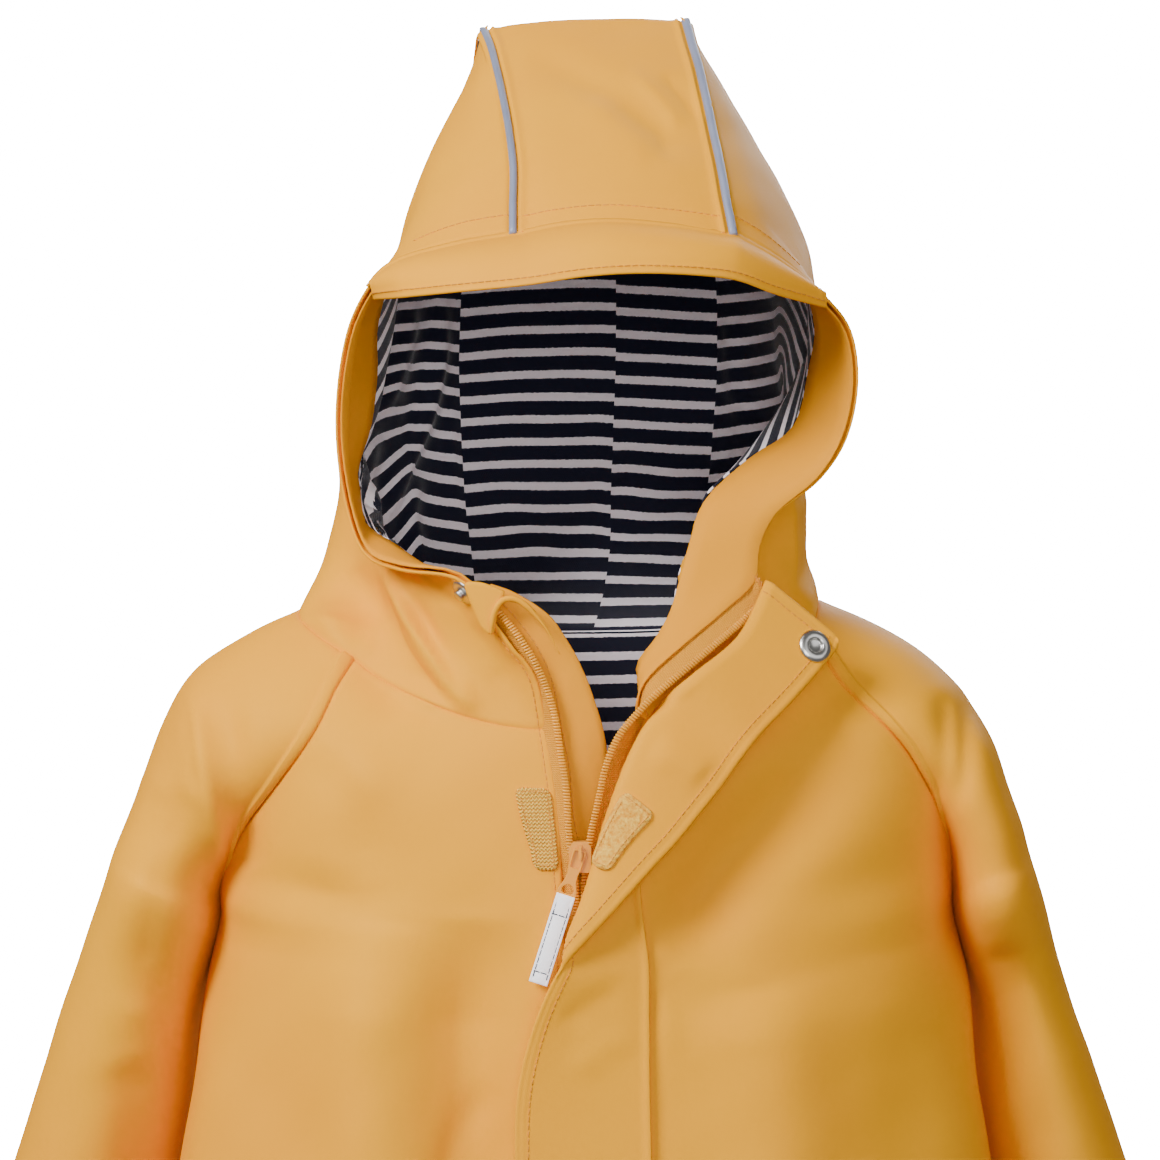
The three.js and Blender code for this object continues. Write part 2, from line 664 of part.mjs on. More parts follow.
// Lining and facings lie inside the shell, on the same points
function inside(name, source, [j0, j1], [i0, i1], material, { start, end } = {}) {
  const last = (list) => list.length - 1;
  const [b, d] = [j1 ?? last(source.grid), i1 ?? last(source.grid[0])];
  const grid = trimmed(crop(source.grid, j0, b, i0, d), { start, end });
  const out = -(SHELL + LAYER_GAP);
  piece(name, wall(grid, crop(source.normals, j0, b, i0, d), out, out - LINING), material);
}
const AT_FOLD = 0.6; // gap from the facing's end to the fold where the lining starts
inside("hood_facing_right", panels.hood_side_right, [0], [0, 1], shellCloth, { end: AT_FOLD });
inside("hood_facing_left", panels.hood_side_left, [0], [0, 1], shellCloth, { end: AT_FOLD });
inside("hood_lining_right", panels.hood_side_right, [0], [1], liningCloth, { start: 0.6 });
inside("hood_lining_left", panels.hood_side_left, [0], [1], liningCloth);
inside("hood_lining_centre_right", panels.hood_centre, [1], [0, 2], liningCloth);
inside("hood_lining_centre_left", panels.hood_centre, [1], [2, 4], liningCloth);
const LINING_FROM_ROW = 12; // of the back panel's rows: the lining shows only through the neck
inside("back_lining", panels.back_panel, [LINING_FROM_ROW], [2, 10], liningCloth);

// Sheet of one thickness about a grid
function sheet(name, grid, thickness, material, flip = false) {
  const normals = normalsOf(grid, flip).map((row) => row.map(mitred));
  piece(name, wall(grid, normals, thickness / 2, -thickness / 2), material);
  return { grid, normals };
}

// Visor: from points on the hood's own front edge to its free edge, a row of the table each
const VISOR_FREE = [
  { x: -87.5, y: -66, z: 131 },
  { x: -76, y: -88, z: 130 },
  { x: -50, y: -107, z: 131 },
  { x: -22, y: -116.5, z: 133 },
  { x: 0, y: -120.5, z: 136 },
  { x: 20, y: -120.5, z: 137.5 },
  { x: 42, y: -117, z: 137.5 },
  { x: 64, y: -108, z: 136 },
  { x: 82, y: -94, z: 131 },
  { x: 104.5, y: -71, z: 127 },
];
const VISOR_GAP = 0.55;
function edgePoint(edge, inner, normal) {
  return add(add(edge, normal, -SHELL / 2), unit(sub(edge, inner)), VISOR_GAP);
}
const sideEdge = ({ grid, normals }, j) => edgePoint(grid[j][0], grid[j][1], normals[j][0]);
const crownEdge = ({ grid, normals }, i) => edgePoint(grid[0][i], grid[1][i], normals[0][i]);
const visorSeam = [
  mix(sideEdge(panels.hood_side_right, 11), sideEdge(panels.hood_side_right, 12), 0.5),
  ...[12, 13, 14].map((j) => sideEdge(panels.hood_side_right, j)),
  ...[1, 2, 3].map((i) => crownEdge(panels.hood_centre, i)),
  ...[14, 13, 12].map((j) => sideEdge(panels.hood_side_left, j)),
];
const visorGrid = [0, 1 / 3, 2 / 3, 1].map((v) =>
  visorSeam.map((p, i) => add(mix(p, xyz(VISOR_FREE[i]), v), [0, -5, 3], 4 * v * (1 - v))),
);
sheet("hood_visor", visorGrid, 2.2, shellCloth);

// Storm flap: from its seam on the left front to its free edge, partly rolled back
const ROLL = 3; // reach of the curve handles at the crest
function flapRow(root, { fx, fy, fz, rx, ry, rz, fold = FOLD_COL / FLAP_COLS }) {
  const free = [fx, fy, fz];
  const hidden = range(FOLD_COL + 1).map((c) => c / FOLD_COL);
  const shown = range(FLAP_COLS - FOLD_COL + 1).slice(1).map((c) => c / (FLAP_COLS - FOLD_COL));
  if (rx === undefined)
    return [...hidden.map((t) => t * fold), ...shown.map((t) => fold + t * (1 - fold))].map((t) =>
      mix(root, free, t),
    );
  const crest = [rx, ry, rz];
  const handle = (end) => [(rx + end[0]) / 2, end[1] - 1, (rz + end[2]) / 2];
  const low = [root, handle(root), [rx, ry + ROLL, rz], crest];
  const high = [crest, [rx, ry - ROLL, rz], handle(free), free];
  return [...hidden.map((t) => bezier(low, t)), ...shown.map((t) => bezier(high, t))];
}
const flapRoot = crop(front.left, 0, FLAP_ROWS.length - 1, 1, 1).map(([p]) => add(p, [0, -2, 0]));
const flapTop = FLAP_TOP_ROWS.map((row) => flapRow([row.sx, row.sy, row.sz], row));
const flapGrid = [...FLAP_ROWS.map((row, j) => flapRow(flapRoot[j], row)), ...flapTop];
const flap = sheet("storm_flap", flapGrid, 2.2, shellCloth);

// Zip: tapes beside the front edges, and a bead for each row of teeth
function bead(name, line, { width, depth }, material) {
  const section = [
    [-0.5, -0.5],
    [0.5, -0.5],
    [0.5, 0.5],
    [-0.5, 0.5],
  ];
  const points = line.flatMap((p, i) => {
    const way = unit(sub(line[Math.min(i + 1, line.length - 1)], line[Math.max(i - 1, 0)]));
    const aside = unit(cross(way, [0, 1, 0]));
    const out = cross(aside, way);
    return section.map(([a, b]) => add(add(p, aside, a * width), out, b * depth));
  });
  const faces = [];
  for (let i = 0; i < line.length - 1; i++)
    for (let k = 0; k < 4; k++) {
      const [a, b] = [4 * i + k, 4 * i + ((k + 1) % 4)];
      faces.push([a, b, b + 4], [a, b + 4, a + 4]);
    }
  const end = 4 * (line.length - 1);
  faces.push([0, 2, 1], [0, 3, 2], [end, end + 1, end + 2], [end, end + 2, end + 3]);
  piece(name, solidOf(points, faces), material);
}
const teethLine = { right: ZIP.right.map(xyz), left: ZIP.left.map(xyz) };
bead("zip_teeth_right", teethLine.right, TEETH, shellCloth);
bead("zip_teeth_left", teethLine.left, TEETH, shellCloth);

// Guard behind the zip, on the wearer's right
const guardFree = sample(GUARD.map(xyz), 24);
const guardSewn = sample(teethLine.right.map((p) => add(p, [-1.6, 5.2, 2])), 24);
const guardGrid = guardFree.map((p, j) => [0, 0.5, 1].map((t) => mix(guardSewn[j], p, t)));
sheet("zip_guard", guardGrid, 1.4, shellCloth);

// Point and normal of a grid at a fractional row and column
function onGrid({ grid, normals }, j, i) {
  const [j0, i0] = [Math.min(Math.floor(j), grid.length - 2), Math.min(Math.floor(i), grid[0].length - 2)];
  const at = (g) =>
    mix(mix(g[j0][i0], g[j0][i0 + 1], i - i0), mix(g[j0 + 1][i0], g[j0 + 1][i0 + 1], i - i0), j - j0);
  return { point: at(grid), normal: unit(at(normals)) };
}

// Patch on a grid: from one row to another, and between two columns at each of them
function patchOn(name, source, rows, low, high, outer, inner, material) {
  const spots = [0, 0.5, 1].map((v) => {
    const [i0, i1] = mix(low, high, v);
    return [0, 0.25, 0.5, 0.75, 1].map((u) => onGrid(source, mix([rows[0]], [rows[1]], v)[0], i0 + (i1 - i0) * u));
  });
  const grid = spots.map((row) => row.map((spot) => spot.point));
  const normals = spots.map((row) => row.map((spot) => spot.normal));
  piece(name, wall(grid, normals, outer, inner), material);
}
const PATCH = 1.5; // hook or loop patch
patchOn("hook_patch", panels.front_right, [13.1, 15.05], [0.08, 0.85], [0.25, 1.5], 0.4 + PATCH, 0.4, hookTape);
patchOn("loop_patch", flap, [13.3, 15.2], [3.4, 5.2], [4.2, 5.85], 1.8 + PATCH, 1.8, hookTape);

// Reflective piping beside the two seams of the hood's centre panel
const PIPING = { from: 0.5, to: 4, outer: 1.5, inner: 0.3 };
function piping(name, edge, next) {
  const { grid, normals } = panels.hood_centre;
  const lines = grid.map((row) => {
    const way = unit(sub(row[next], row[edge]));
    return [add(row[edge], way, PIPING.from), add(row[edge], way, PIPING.to)];
  });
  const out = normals.map((row) => [unit(row[edge]), unit(mix(row[edge], row[next], 0.15))]);
  piece(name, wall(lines.slice(0, -1), out.slice(0, -1), PIPING.outer, PIPING.inner), pipingTape);
}
piping("piping_right", 0, 1);
piping("piping_left", 4, 3);

// Turned metal parts, standing on a grid along its normal
function turned(name, profile, { point, normal }, lift, material) {
  const geometry = new THREE.LatheGeometry(
    profile.map(([r, y]) => new THREE.Vector2(r, y)),
    18,
  );
  const up = new THREE.Vector3(0, 1, 0);
  const mesh = piece(name, geometry, material);
  mesh.quaternion.setFromUnitVectors(up, new THREE.Vector3(...normal));
  mesh.position.set(...add(point, normal, lift));
}
const socket = onGrid(flap, 20.6, 5.6);
const behind = { point: socket.point, normal: socket.normal.map((v) => -v) };
const SOCKET = [
  [0, 0],
  [7.2, 0],
  [7.2, 1],
  [6.2, 1.9],
  [3.4, 1.9],
  [2.8, 0.9],
  [0, 0.9],
];
const CAP = [
  [0, 0],
  [7.2, 0],
  [6.4, 1.3],
  [0, 1.3],
];
const STUD = [
  [0, 0],
  [6, 0],
  [6, 0.9],
  [2.3, 1.2],
  [2.1, 2.2],
  [2.5, 3],
  [2, 3.6],
  [0, 3.6],
];
turned("snap_socket", SOCKET, socket, 1.4, metal);
turned("snap_cap", CAP, behind, 1.4, metal);
turned("snap_stud", STUD, onGrid(panels.hood_side_right, 4.6, 0.3), 0.4, metal);

// Garage over the top of the zip
const GARAGE = [
  { ax: -44, az: 5, bx: -34, bz: 6, cx: -26, cz: 1 },
  { ax: -41, az: -3, bx: -33, bz: -2, cx: -25, cz: -6 },
  { ax: -37, az: -11, bx: -31, bz: -11, cx: -24, cz: -13.5 },
];
const garageGrid = GARAGE.map((r) => [
  [r.ax, -85.7, r.az],
  [r.bx, -86.5, r.bz],
  [r.cx, -86.3, r.cz],
]);
sheet("zip_garage", garageGrid, 1.2, shellCloth);

// Slider: two plates joined by a wedge between the teeth, with an arch for the puller
const SLIDER = { x: 0, z: -98.5, length: 13, width: 9.4, front: -94.8, back: -88.6 };
const box = (x, y, z) => {
  const g = new THREE.BoxGeometry(x[1] - x[0], y[1] - y[0], z[1] - z[0]);
  return g.translate((x[0] + x[1]) / 2, (y[0] + y[1]) / 2, (z[0] + z[1]) / 2);
};
const plateShape = (halfWidth, top, bottom) => {
  const shape = new THREE.Shape();
  shape.moveTo(-halfWidth * 0.8, bottom);
  shape.lineTo(halfWidth * 0.8, bottom);
  shape.lineTo(halfWidth, bottom + 2);
  shape.lineTo(halfWidth, top - 2.5);
  shape.lineTo(halfWidth * 0.6, top);
  shape.lineTo(-halfWidth * 0.6, top);
  shape.lineTo(-halfWidth, top - 2.5);
  shape.lineTo(-halfWidth, bottom + 2);
  shape.closePath();
  return shape;
};

function extruded(shape, depth, from) {
  const g = new THREE.ExtrudeGeometry(shape, { depth, bevelEnabled: false, curveSegments: 6 });
  return g.translate(0, 0, from);
}

// Solids joined into one, or with the second list cut away
const manifold = await loadManifold();
manifold.setup();
function joined(list, cut = []) {
  const solid = (g) => {
    const mesh = new manifold.Mesh({
      numProp: 3,
      vertProperties: new Float32Array(g.attributes.position.array),
      triVerts: new Uint32Array(g.index ? g.index.array : range(g.attributes.position.count)),
    });
    mesh.merge();
    return new manifold.Manifold(mesh);
  };
  const whole = cut.reduce(
    (a, g) => a.subtract(solid(g)),
    manifold.Manifold.union(list.map(solid)),
  );
  const { vertProperties: v, triVerts: t } = whole.getMesh();
  const threes = (array) => range(array.length / 3).map((i) => [...array.slice(3 * i, 3 * i + 3)]);
  return solidOf(threes(v), threes(t));
}

const S = SLIDER;
const bottom = S.z - S.length;
const upright = new THREE.Matrix4().makeRotationX(Math.PI / 2);
const plate = (y) => extruded(plateShape(S.width / 2, S.z, bottom), 1.3, -y).applyMatrix4(upright);
const ARCH = { half: 0.65, top: -100, foot: -105.9, rise: -98.6, holeTop: -101.2, holeFoot: -104.9 };
piece(
  "zip_slider",
  joined(
    [
      plate(S.front),
      plate(S.back + 1.3),
      box([-1.1, 1.1], [S.front, S.back], [S.z - 5, S.z - 1]),
      box([-ARCH.half, ARCH.half], [ARCH.rise, S.front - 1], [ARCH.foot, ARCH.top]),
    ],
    [box([-3, 3], [ARCH.rise + 1, S.front - 1.3], [ARCH.holeFoot, ARCH.holeTop])],
  ),
  metal,
);

// Puller and its tab, made flat about the bar in the arch and then hung from it
const PULL = { x: 0, y: -96.85, z: -102.2, lean: 17.6, forward: 1.6 };
const PULLER = { half: 2.9, slotHalf: 2, top: 0.5, slot: -7.6, hole: -17.5, end: -22.5, thick: 0.9 };
const TAB = { half: 4, top: -20.8, end: -58.2, legs: 1.9, thick: 1.1, fork: 0.8, forkEnd: -23 };
const rectangle = (x0, x1, y0, y1) => {
  const shape = new THREE.Shape();
  shape.moveTo(x0, y0);
  shape.lineTo(x1, y0);
  shape.lineTo(x1, y1);
  shape.lineTo(x0, y1);
  shape.closePath();
  return shape;
};
const pullerShape = rectangle(-PULLER.half, PULLER.half, PULLER.end, PULLER.top);
pullerShape.holes.push(
  rectangle(-PULLER.slotHalf, PULLER.slotHalf, PULLER.slot, -0.5),
  rectangle(-1.1, 1.1, PULLER.hole - 3, PULLER.hole),
);
const tabSide = new THREE.Shape();
tabSide.moveTo(-TAB.legs, TAB.top);
tabSide.lineTo(-TAB.fork, TAB.top);
tabSide.lineTo(-TAB.fork, TAB.forkEnd);
tabSide.lineTo(TAB.fork, TAB.forkEnd);
tabSide.lineTo(TAB.fork, TAB.top);
tabSide.lineTo(TAB.legs, TAB.top);
tabSide.lineTo(TAB.thick, TAB.forkEnd - 3);
tabSide.lineTo(TAB.thick, TAB.end);
tabSide.lineTo(-TAB.thick, TAB.end);
tabSide.lineTo(-TAB.thick, TAB.forkEnd - 3);
tabSide.closePath();
const degrees = (a) => (a * Math.PI) / 180;
const hang = new THREE.Matrix4()
  .makeTranslation(PULL.x, PULL.y, PULL.z)
  .multiply(new THREE.Matrix4().makeRotationY(degrees(PULL.lean)))
  .multiply(new THREE.Matrix4().makeRotationX(degrees(90 - PULL.forward)));
const sideOn = new THREE.Matrix4().makeRotationY(Math.PI / 2);
const pullerFlat = extruded(pullerShape, PULLER.thick, -PULLER.thick / 2);
piece("pull_puller", joined([pullerFlat]).applyMatrix4(hang), metal);
const tabFlat = extruded(tabSide, 2 * TAB.half, -TAB.half).applyMatrix4(sideOn);
piece("pull_tab", joined([tabFlat]).applyMatrix4(hang), whiteTape);

export default coat;
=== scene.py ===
"""Looks of a child's hooded raincoat, filled out as if worn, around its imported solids.

Lengths here are millimetres until a mesh is made; +Z is up and the front faces -Y.
"right" and "left" are the wearer's: right is -X.
"""

import math

import bpy
import numpy as np
from mathutils import Matrix, Vector


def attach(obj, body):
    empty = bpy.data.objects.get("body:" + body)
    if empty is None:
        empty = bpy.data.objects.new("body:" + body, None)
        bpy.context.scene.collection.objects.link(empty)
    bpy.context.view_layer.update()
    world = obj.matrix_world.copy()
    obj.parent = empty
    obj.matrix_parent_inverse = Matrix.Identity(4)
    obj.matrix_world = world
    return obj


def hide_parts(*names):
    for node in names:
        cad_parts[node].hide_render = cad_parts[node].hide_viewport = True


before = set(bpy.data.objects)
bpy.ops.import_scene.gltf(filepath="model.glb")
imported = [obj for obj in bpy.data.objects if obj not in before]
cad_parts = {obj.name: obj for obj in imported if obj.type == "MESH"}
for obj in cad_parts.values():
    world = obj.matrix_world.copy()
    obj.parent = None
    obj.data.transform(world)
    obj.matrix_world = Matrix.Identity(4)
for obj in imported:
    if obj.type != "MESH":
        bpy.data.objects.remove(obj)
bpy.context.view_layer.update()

# Camera, at the photograph's viewing angle
CAM_Y = -1690.0
CAM_Z = 11.0
MM_PER_PIXEL = 0.42  # at PLANE_Y
PLANE_Y = -90.0
HALF_VIEW = 580 * MM_PER_PIXEL

camera = bpy.data.objects.new("camera", bpy.data.cameras.new("camera"))
bpy.context.scene.collection.objects.link(camera)
camera.location = (0, CAM_Y / 1000, CAM_Z / 1000)
camera.rotation_euler = (math.radians(90), 0, 0)
camera.data.angle = 2 * math.atan(HALF_VIEW / (PLANE_Y - CAM_Y))
bpy.context.scene.camera = camera

# Sizes
FINE = 4  # steps here for each one of the solids'
SHELL = 1.3  # coated cloth
LINING_DEPTH = 2.6  # from the shell's outside to the lining's outside
LINING = 1.0
ROUNDNESS = 0.6
HEM_Z = -500.0

# The forms are worked out from the same tables as the solids.
# sleeve: qx qz mx mz yc vf vb angle lift, from the cuff to the neck
SIDES = {
    "right": dict(
        sleeve=[
            (-296, -372, -226, -397, 42, 40, 40, 180, 0),
            (-278, -318, -206, -343, 43, 45, 45, 180, 0),
            (-260, -262, -190, -287, 42, 49, 49, 180, 0),
            (-243, -209, -177, -232, 38, 54, 52, 180, 0),
            (-226, -160, -170, -181, 30, 58, 52, 180, 0),
            (-212, -121, -160, -142, 14, 62, 52, 180, 0),
            (-208, -109, -159, -126, 12, 60, 50, 165, 0),
            (-202, -94, -155, -114, 11, 60, 48, 153, 0),
            (-193, -73, -146, -96, 9, 60, 47, 130, 1),
            (-183, -48, -128, -71, 6, 64, 49, 106, 3),
            (-170, -28, -113, -48, 3, 64, 49, 86, 5),
            (-149, -14, -105, -30, 1, 56, 47, 74, 6),
            (-125, -3, -98, -15, -1, 45, 43, 66, 8),
        ],
        # x y z of the side seam up to the armpit, and of the front edge up to the neck
        side=[(-212, 4, HEM_Z), (-204, 5, -430), (-193, 6, -350), (-182, 7, -270), (-168, 9, -195)],
        edge=[
            (-6, -104, HEM_Z), (-6, -103, -430), (-6, -101, -350), (-6, -99, -270),
            (-6, -97, -205), (-6.5, -95.5, -152), (-7, -95, -138), (-7, -94, -125),
            (-8, -92.5, -112), (-9, -90, -95), (-10.5, -87, -78), (-12.5, -84, -64),
            (-14.4, -80, -52),
        ],
        # hood opening, and the line where its lining starts, from the neck to the brim
        opening=[
            (-14.4, -80, -52), (-16, -81, -43), (-19, -82.5, -31), (-27, -84, -19),
            (-38, -84.5, -4), (-52, -83, 11), (-76, -72, 14.5), (-93, -54, 22),
            (-102, -43, 44), (-106, -41, 74), (-104, -46, 103), (-97, -54, 127),
            (-82, -66, 145), (-56, -78, 152.5), (-30.3, -84, 156.6),
        ],
        lining_start=[
            (-28, -77, -38), (-34, -75, -24), (-42, -73, -12), (-52, -70, 0),
            (-64, -61, 10), (-80, -42, 22), (-97, -26, 36), (-101, -20, 58),
            (-95, -16, 80), (-92, -14, 102), (-91, -24, 126), (-78, -44, 155),
            (-54, -61, 168), (-30.5, -70, 170),
        ],
        crown=[
            (-30.5, -70, 170), (-30.7, -48, 189.4), (-33.4, -20, 210), (-37.3, 10, 230.6),
            (-41.8, 40, 251), (-46, 62, 264),
        ],
        back_seam=[
            (-50, 88, 12), (-56, 108, 62), (-58, 118, 122), (-55, 114, 184), (-50, 97, 236),
            (-46, 62, 264),
        ],
        bulge=(18, -10, 0),
        flow=0.75,
    ),
    "left": dict(
        sleeve=[
            (288, -369, 219, -393, 44, 41, 41, 180, 0),
            (270, -316, 202, -340, 46, 46, 46, 180, 0),
            (252, -262, 190, -284, 46, 51, 51, 180, 0),
            (234, -210, 181, -229, 44, 57, 53, 180, 0),
            (217, -161, 176, -176, 38, 62, 54, 180, 0),
            (203, -121, 166, -138, 14, 64, 56, 180, 0),
            (199, -108, 164.5, -122, 12, 60, 52, 165, 0),
            (195, -94, 162.5, -106, 11, 60, 50, 153, 0),
            (188, -76, 155, -85, 9, 59, 47, 130, 1),
            (179, -54, 142, -62, 6, 60, 49, 108, 2),
            (166, -33, 127, -44, 3, 60, 49, 88, 3),
            (142, -14, 112, -28, 1, 51, 46, 76, 4),
            (106, 2.6, 100, -9, 0, 39, 41, 66, 3),
        ],
        side=[(214, 4, HEM_Z), (206, 5, -430), (196, 6, -350), (186, 7, -270), (174, 9, -195)],
        edge=[
            (6, -104, HEM_Z), (6, -103, -430), (6, -101, -350), (6, -99, -270), (6, -97, -205),
            (6.5, -95.5, -152), (7, -95, -138), (7.5, -94, -125), (9, -93, -112),
            (12, -91, -95), (16, -89, -78), (21, -86.5, -62), (26, -84, -48),
        ],
        opening=[
            (26, -84, -48), (27, -86, -41), (31, -85, -31), (45, -80, -18), (60, -72, -5),
            (74, -64, 9), (76.5, -60, 25), (84, -60, 39), (102, -62, 53), (114, -64, 71),
            (119, -64, 95), (116, -62, 118), (104, -64, 133), (84, -75, 147), (66.5, -84, 156),
        ],
        lining_start=[
            (30, -78, -39), (27, -76, -27), (33, -73, -16), (39, -68, -3), (43, -64, 11),
            (47, -60, 25), (54, -53, 43), (74, -43, 61), (95, -34, 76), (102, -33, 102),
            (105, -36, 122), (98, -46, 143), (80, -58, 164), (64, -68, 172),
        ],
        crown=[
            (64, -68, 172), (62.5, -50, 187), (60, -22, 208), (56.5, 8, 231), (52.7, 38, 252),
            (50, 62, 268),
        ],
        back_seam=[
            (54, 88, 14), (62, 108, 62), (66, 118, 122), (63, 114, 184), (56, 98, 238),
            (50, 62, 268),
        ],
        bulge=(-6, -6, 0),
        flow=0.0,
    ),
}
FLOW_REACH = 14.0
FRONT_TURN = [92, 92, 92, 92, 92, 92, 84, 72, 58, 46, 38, 36, 42]
BACK_TURN = [88, 88, 88, 88, 87, 84, 78, 70, 58, 46, 40, 40, 42]
BACK_CENTRE = [
    (0, 97, HEM_Z), (0, 94, -430), (0, 90, -350), (0, 86, -270), (0, 83, -205), (0, 81, -152),
    (0, 80, -136), (-1, 79, -120), (-2, 77, -101), (-3, 74, -79), (-4, 69, -56), (-5, 63, -34),
    (-6, 57, -14),
]
BRIM = [(-10, -89, 160), (15, -91, 161.5), (41, -89.5, 159.5)]
FRONT_COLS = [0, 0.07, 0.2, 0.34, 0.48, 0.62, 0.75, 0.88, 1]
SLEEVE_COLS = 10
BACK_COLS = 12
NAPE_FROM, NAPE_TO = 4, 8
LAST_ROW = 12
CUFF_ROWS = 5

# Storm flap: free edge fx fy fz, then the roll's crest rx ry rz or the fold column's share
FLAP_ROWS = [
    (-27, -108.5, -500, 3 / 7), (-27, -108, -465, 3 / 7), (-27, -107.5, -430, 3 / 7),
    (-27, -107, -390, 3 / 7), (-27, -106.5, -350, 3 / 7), (-27, -105.5, -310, 3 / 7),
    (-27, -104.5, -270, 3 / 7), (-26.8, -103.5, -237, 0.52), (-26, -103.5, -205, 0.63),
    (-20, -104.5, -178, 0.77), (-10, -106.5, -154, 0.94),
    (0, -108.5, -141.5, -5.5, -105, -139), (11, -109, -129.5, 0, -104.5, -125),
    (20.5, -108, -119, 4.2, -103.5, -112), (30, -106, -108.5, 8.8, -101.5, -95),
    (40, -103.5, -98, 14.5, -99.5, -78), (50, -100.5, -86, 21, -97, -62),
    (59, -97.5, -75, 29.5, -94, -48),
]
# sewn edge sx sy sz, free edge fx fy fz and the fold column's share
FLAP_TOP_ROWS = [
    (39.5, -92, -37.5, 67, -95, -64, 0.1), (51, -91, -28, 76, -91, -53, 0.2),
    (69, -81, -13, 92, -82, -37, 0.32), (81, -70, 10, 112, -66, -15, 0.43),
]
FLAP_COLS = 7
FOLD_COL = 3
ROLL = 3.0

ZIP = {
    "right": [
        (-1.6, -103, HEM_Z), (-1.6, -101, -380), (-1.6, -97, -250), (-1.6, -92.5, -150),
        (-2, -91.5, -116), (-4.4, -91.3, -99), (-6, -89, -76), (-8.4, -86.5, -61),
        (-10.5, -85, -47.5), (-14, -84, -35), (-19.5, -84, -23), (-27, -84, -11.5),
        (-34, -84, -3),
    ],
    "left": [
        (1.6, -103, HEM_Z), (1.6, -101, -380), (1.6, -97, -250), (1.6, -92.5, -150),
        (2, -91.5, -116), (4, -91.5, -99), (7.5, -91.5, -83), (11, -91.5, -67),
        (16, -92, -55), (24, -92.5, -45), (33, -91.5, -36), (44, -88, -27), (55, -83, -18),
        (66, -76, -9), (75, -69, -1),
    ],
}
GUARD = [
    (14, -92, HEM_Z), (14, -90, -380), (14, -87, -250), (14, -83, -150), (13.5, -81, -98),
    (11, -79, -60), (5.5, -78, -39), (0, -78, -25), (-5.5, -78, -15), (-13.5, -79, -4),
    (-27, -79, 5), (-37.6, -79, 9),
]
VISOR_FREE = [
    (-87.5, -66, 131), (-76, -88, 130), (-50, -107, 131), (-22, -116.5, 133),
    (0, -120.5, 136), (20, -120.5, 137.5), (42, -117, 137.5), (64, -108, 136),
    (82, -94, 131), (104.5, -71, 127),
]


# Curves and grids
def through(rows, t):
    """Smooth curve through rows of numbers: t runs from 0 to 1, evenly by row."""
    rows = np.asarray(rows, float)
    last = len(rows) - 1
    at = np.clip(np.asarray(t, float), 0, 1) * last
    i = np.minimum(at.astype(int), last - 1)
    f = (at - i).reshape(at.shape + (1,) * (rows.ndim - 1))
    a, b, d, e = (rows[np.clip(i + k, 0, last)] for k in (-1, 0, 1, 2))
    return b + 0.5 * f * (d - a + f * (2 * a - 5 * b + 4 * d - e + f * (3 * (b - d) + e - a)))


def bezier(points, t):
    a, b, c, d = points
    r = 1 - t
    return r**3 * a + 3 * t * r * r * b + 3 * t * t * r * c + t**3 * d


def sample(rows, count):
    return through(rows, np.linspace(0, 1, count + 1))


def finer(values, count=FINE):
    """The values, with count even steps between each two."""
    values = np.asarray(values, float)
    at = np.linspace(0, len(values) - 1, (len(values) - 1) * count + 1)
    return np.interp(at, np.arange(len(values)), values)


def lengths(v):
    return np.linalg.norm(v, axis=-1, keepdims=True)


def run_of(line):
    """Distance along a line to each of its points."""
    return np.concatenate([[0], np.cumsum(lengths(np.diff(line, axis=0))[:, 0])])


def unit(v):
    return v / np.maximum(lengths(v), 1e-9)


COARSE_ROWS = [i / 2 for i in range(2 * CUFF_ROWS)] + list(range(CUFF_ROWS, LAST_ROW + 1))
BODY = finer(COARSE_ROWS)


def sleeve_points(side, u, v):
    """Sleeve: u from the front seam over the outside to the back seam, v from cuff to neck."""
    cells = through(side["sleeve"], v)
    qx, qz, mx, mz, yc, vf, vb, angle, lift = np.moveaxis(cells, -1, 0)
    half = np.radians(np.minimum(angle, 180))
    theta = half * (2 * u - 1)
    rise = (np.cos(theta) - np.cos(half)) / (1 - np.cos(half))
    depth = np.sin(theta) * np.where(theta < 0, vf, vb)
    height = mz + (qz - mz) * rise + lift * np.sin(theta)
    return np.stack([mx + (qx - mx) * rise, yc + depth, height], -1)


def seam_points(side, rows, u):
    body = len(side["side"])
    armpit = sleeve_points(side, 0.0, np.array(body / LAST_ROW))
    low = through([*side["side"], armpit], np.minimum(rows / body, 1))
    high = sleeve_points(side, u, rows / LAST_ROW)
    return np.where((rows >= body)[:, None], high, low)


def half_rows(middle, seam, degrees, t):
    """Rows of a body panel, from its middle to its seam, where it has turned back."""
    turn = np.radians(degrees)
    gap = seam - middle
    out = np.sign(gap[:, 0])
    back = np.abs(gap[:, 1] / np.sin(turn))
    aside = np.abs(gap[:, 0]) - back * np.cos(turn)
    first, second = middle.copy(), seam.copy()
    first[:, 0] += out * aside * ROUNDNESS
    second[:, 0] -= out * back * np.cos(turn) * ROUNDNESS
    second[:, 1] -= gap[:, 1] * ROUNDNESS
    second[:, 2] = middle[:, 2] + gap[:, 2] / 3
    four = [p[:, None] for p in (middle, first, second, seam)]
    return bezier(four, np.asarray(t)[None, :, None])


def front_grid(side):
    middle = through(side["edge"], BODY / LAST_ROW)
    turn = through(FRONT_TURN, BODY / LAST_ROW)
    return half_rows(middle, seam_points(side, BODY, 0.0), turn, finer(FRONT_COLS))


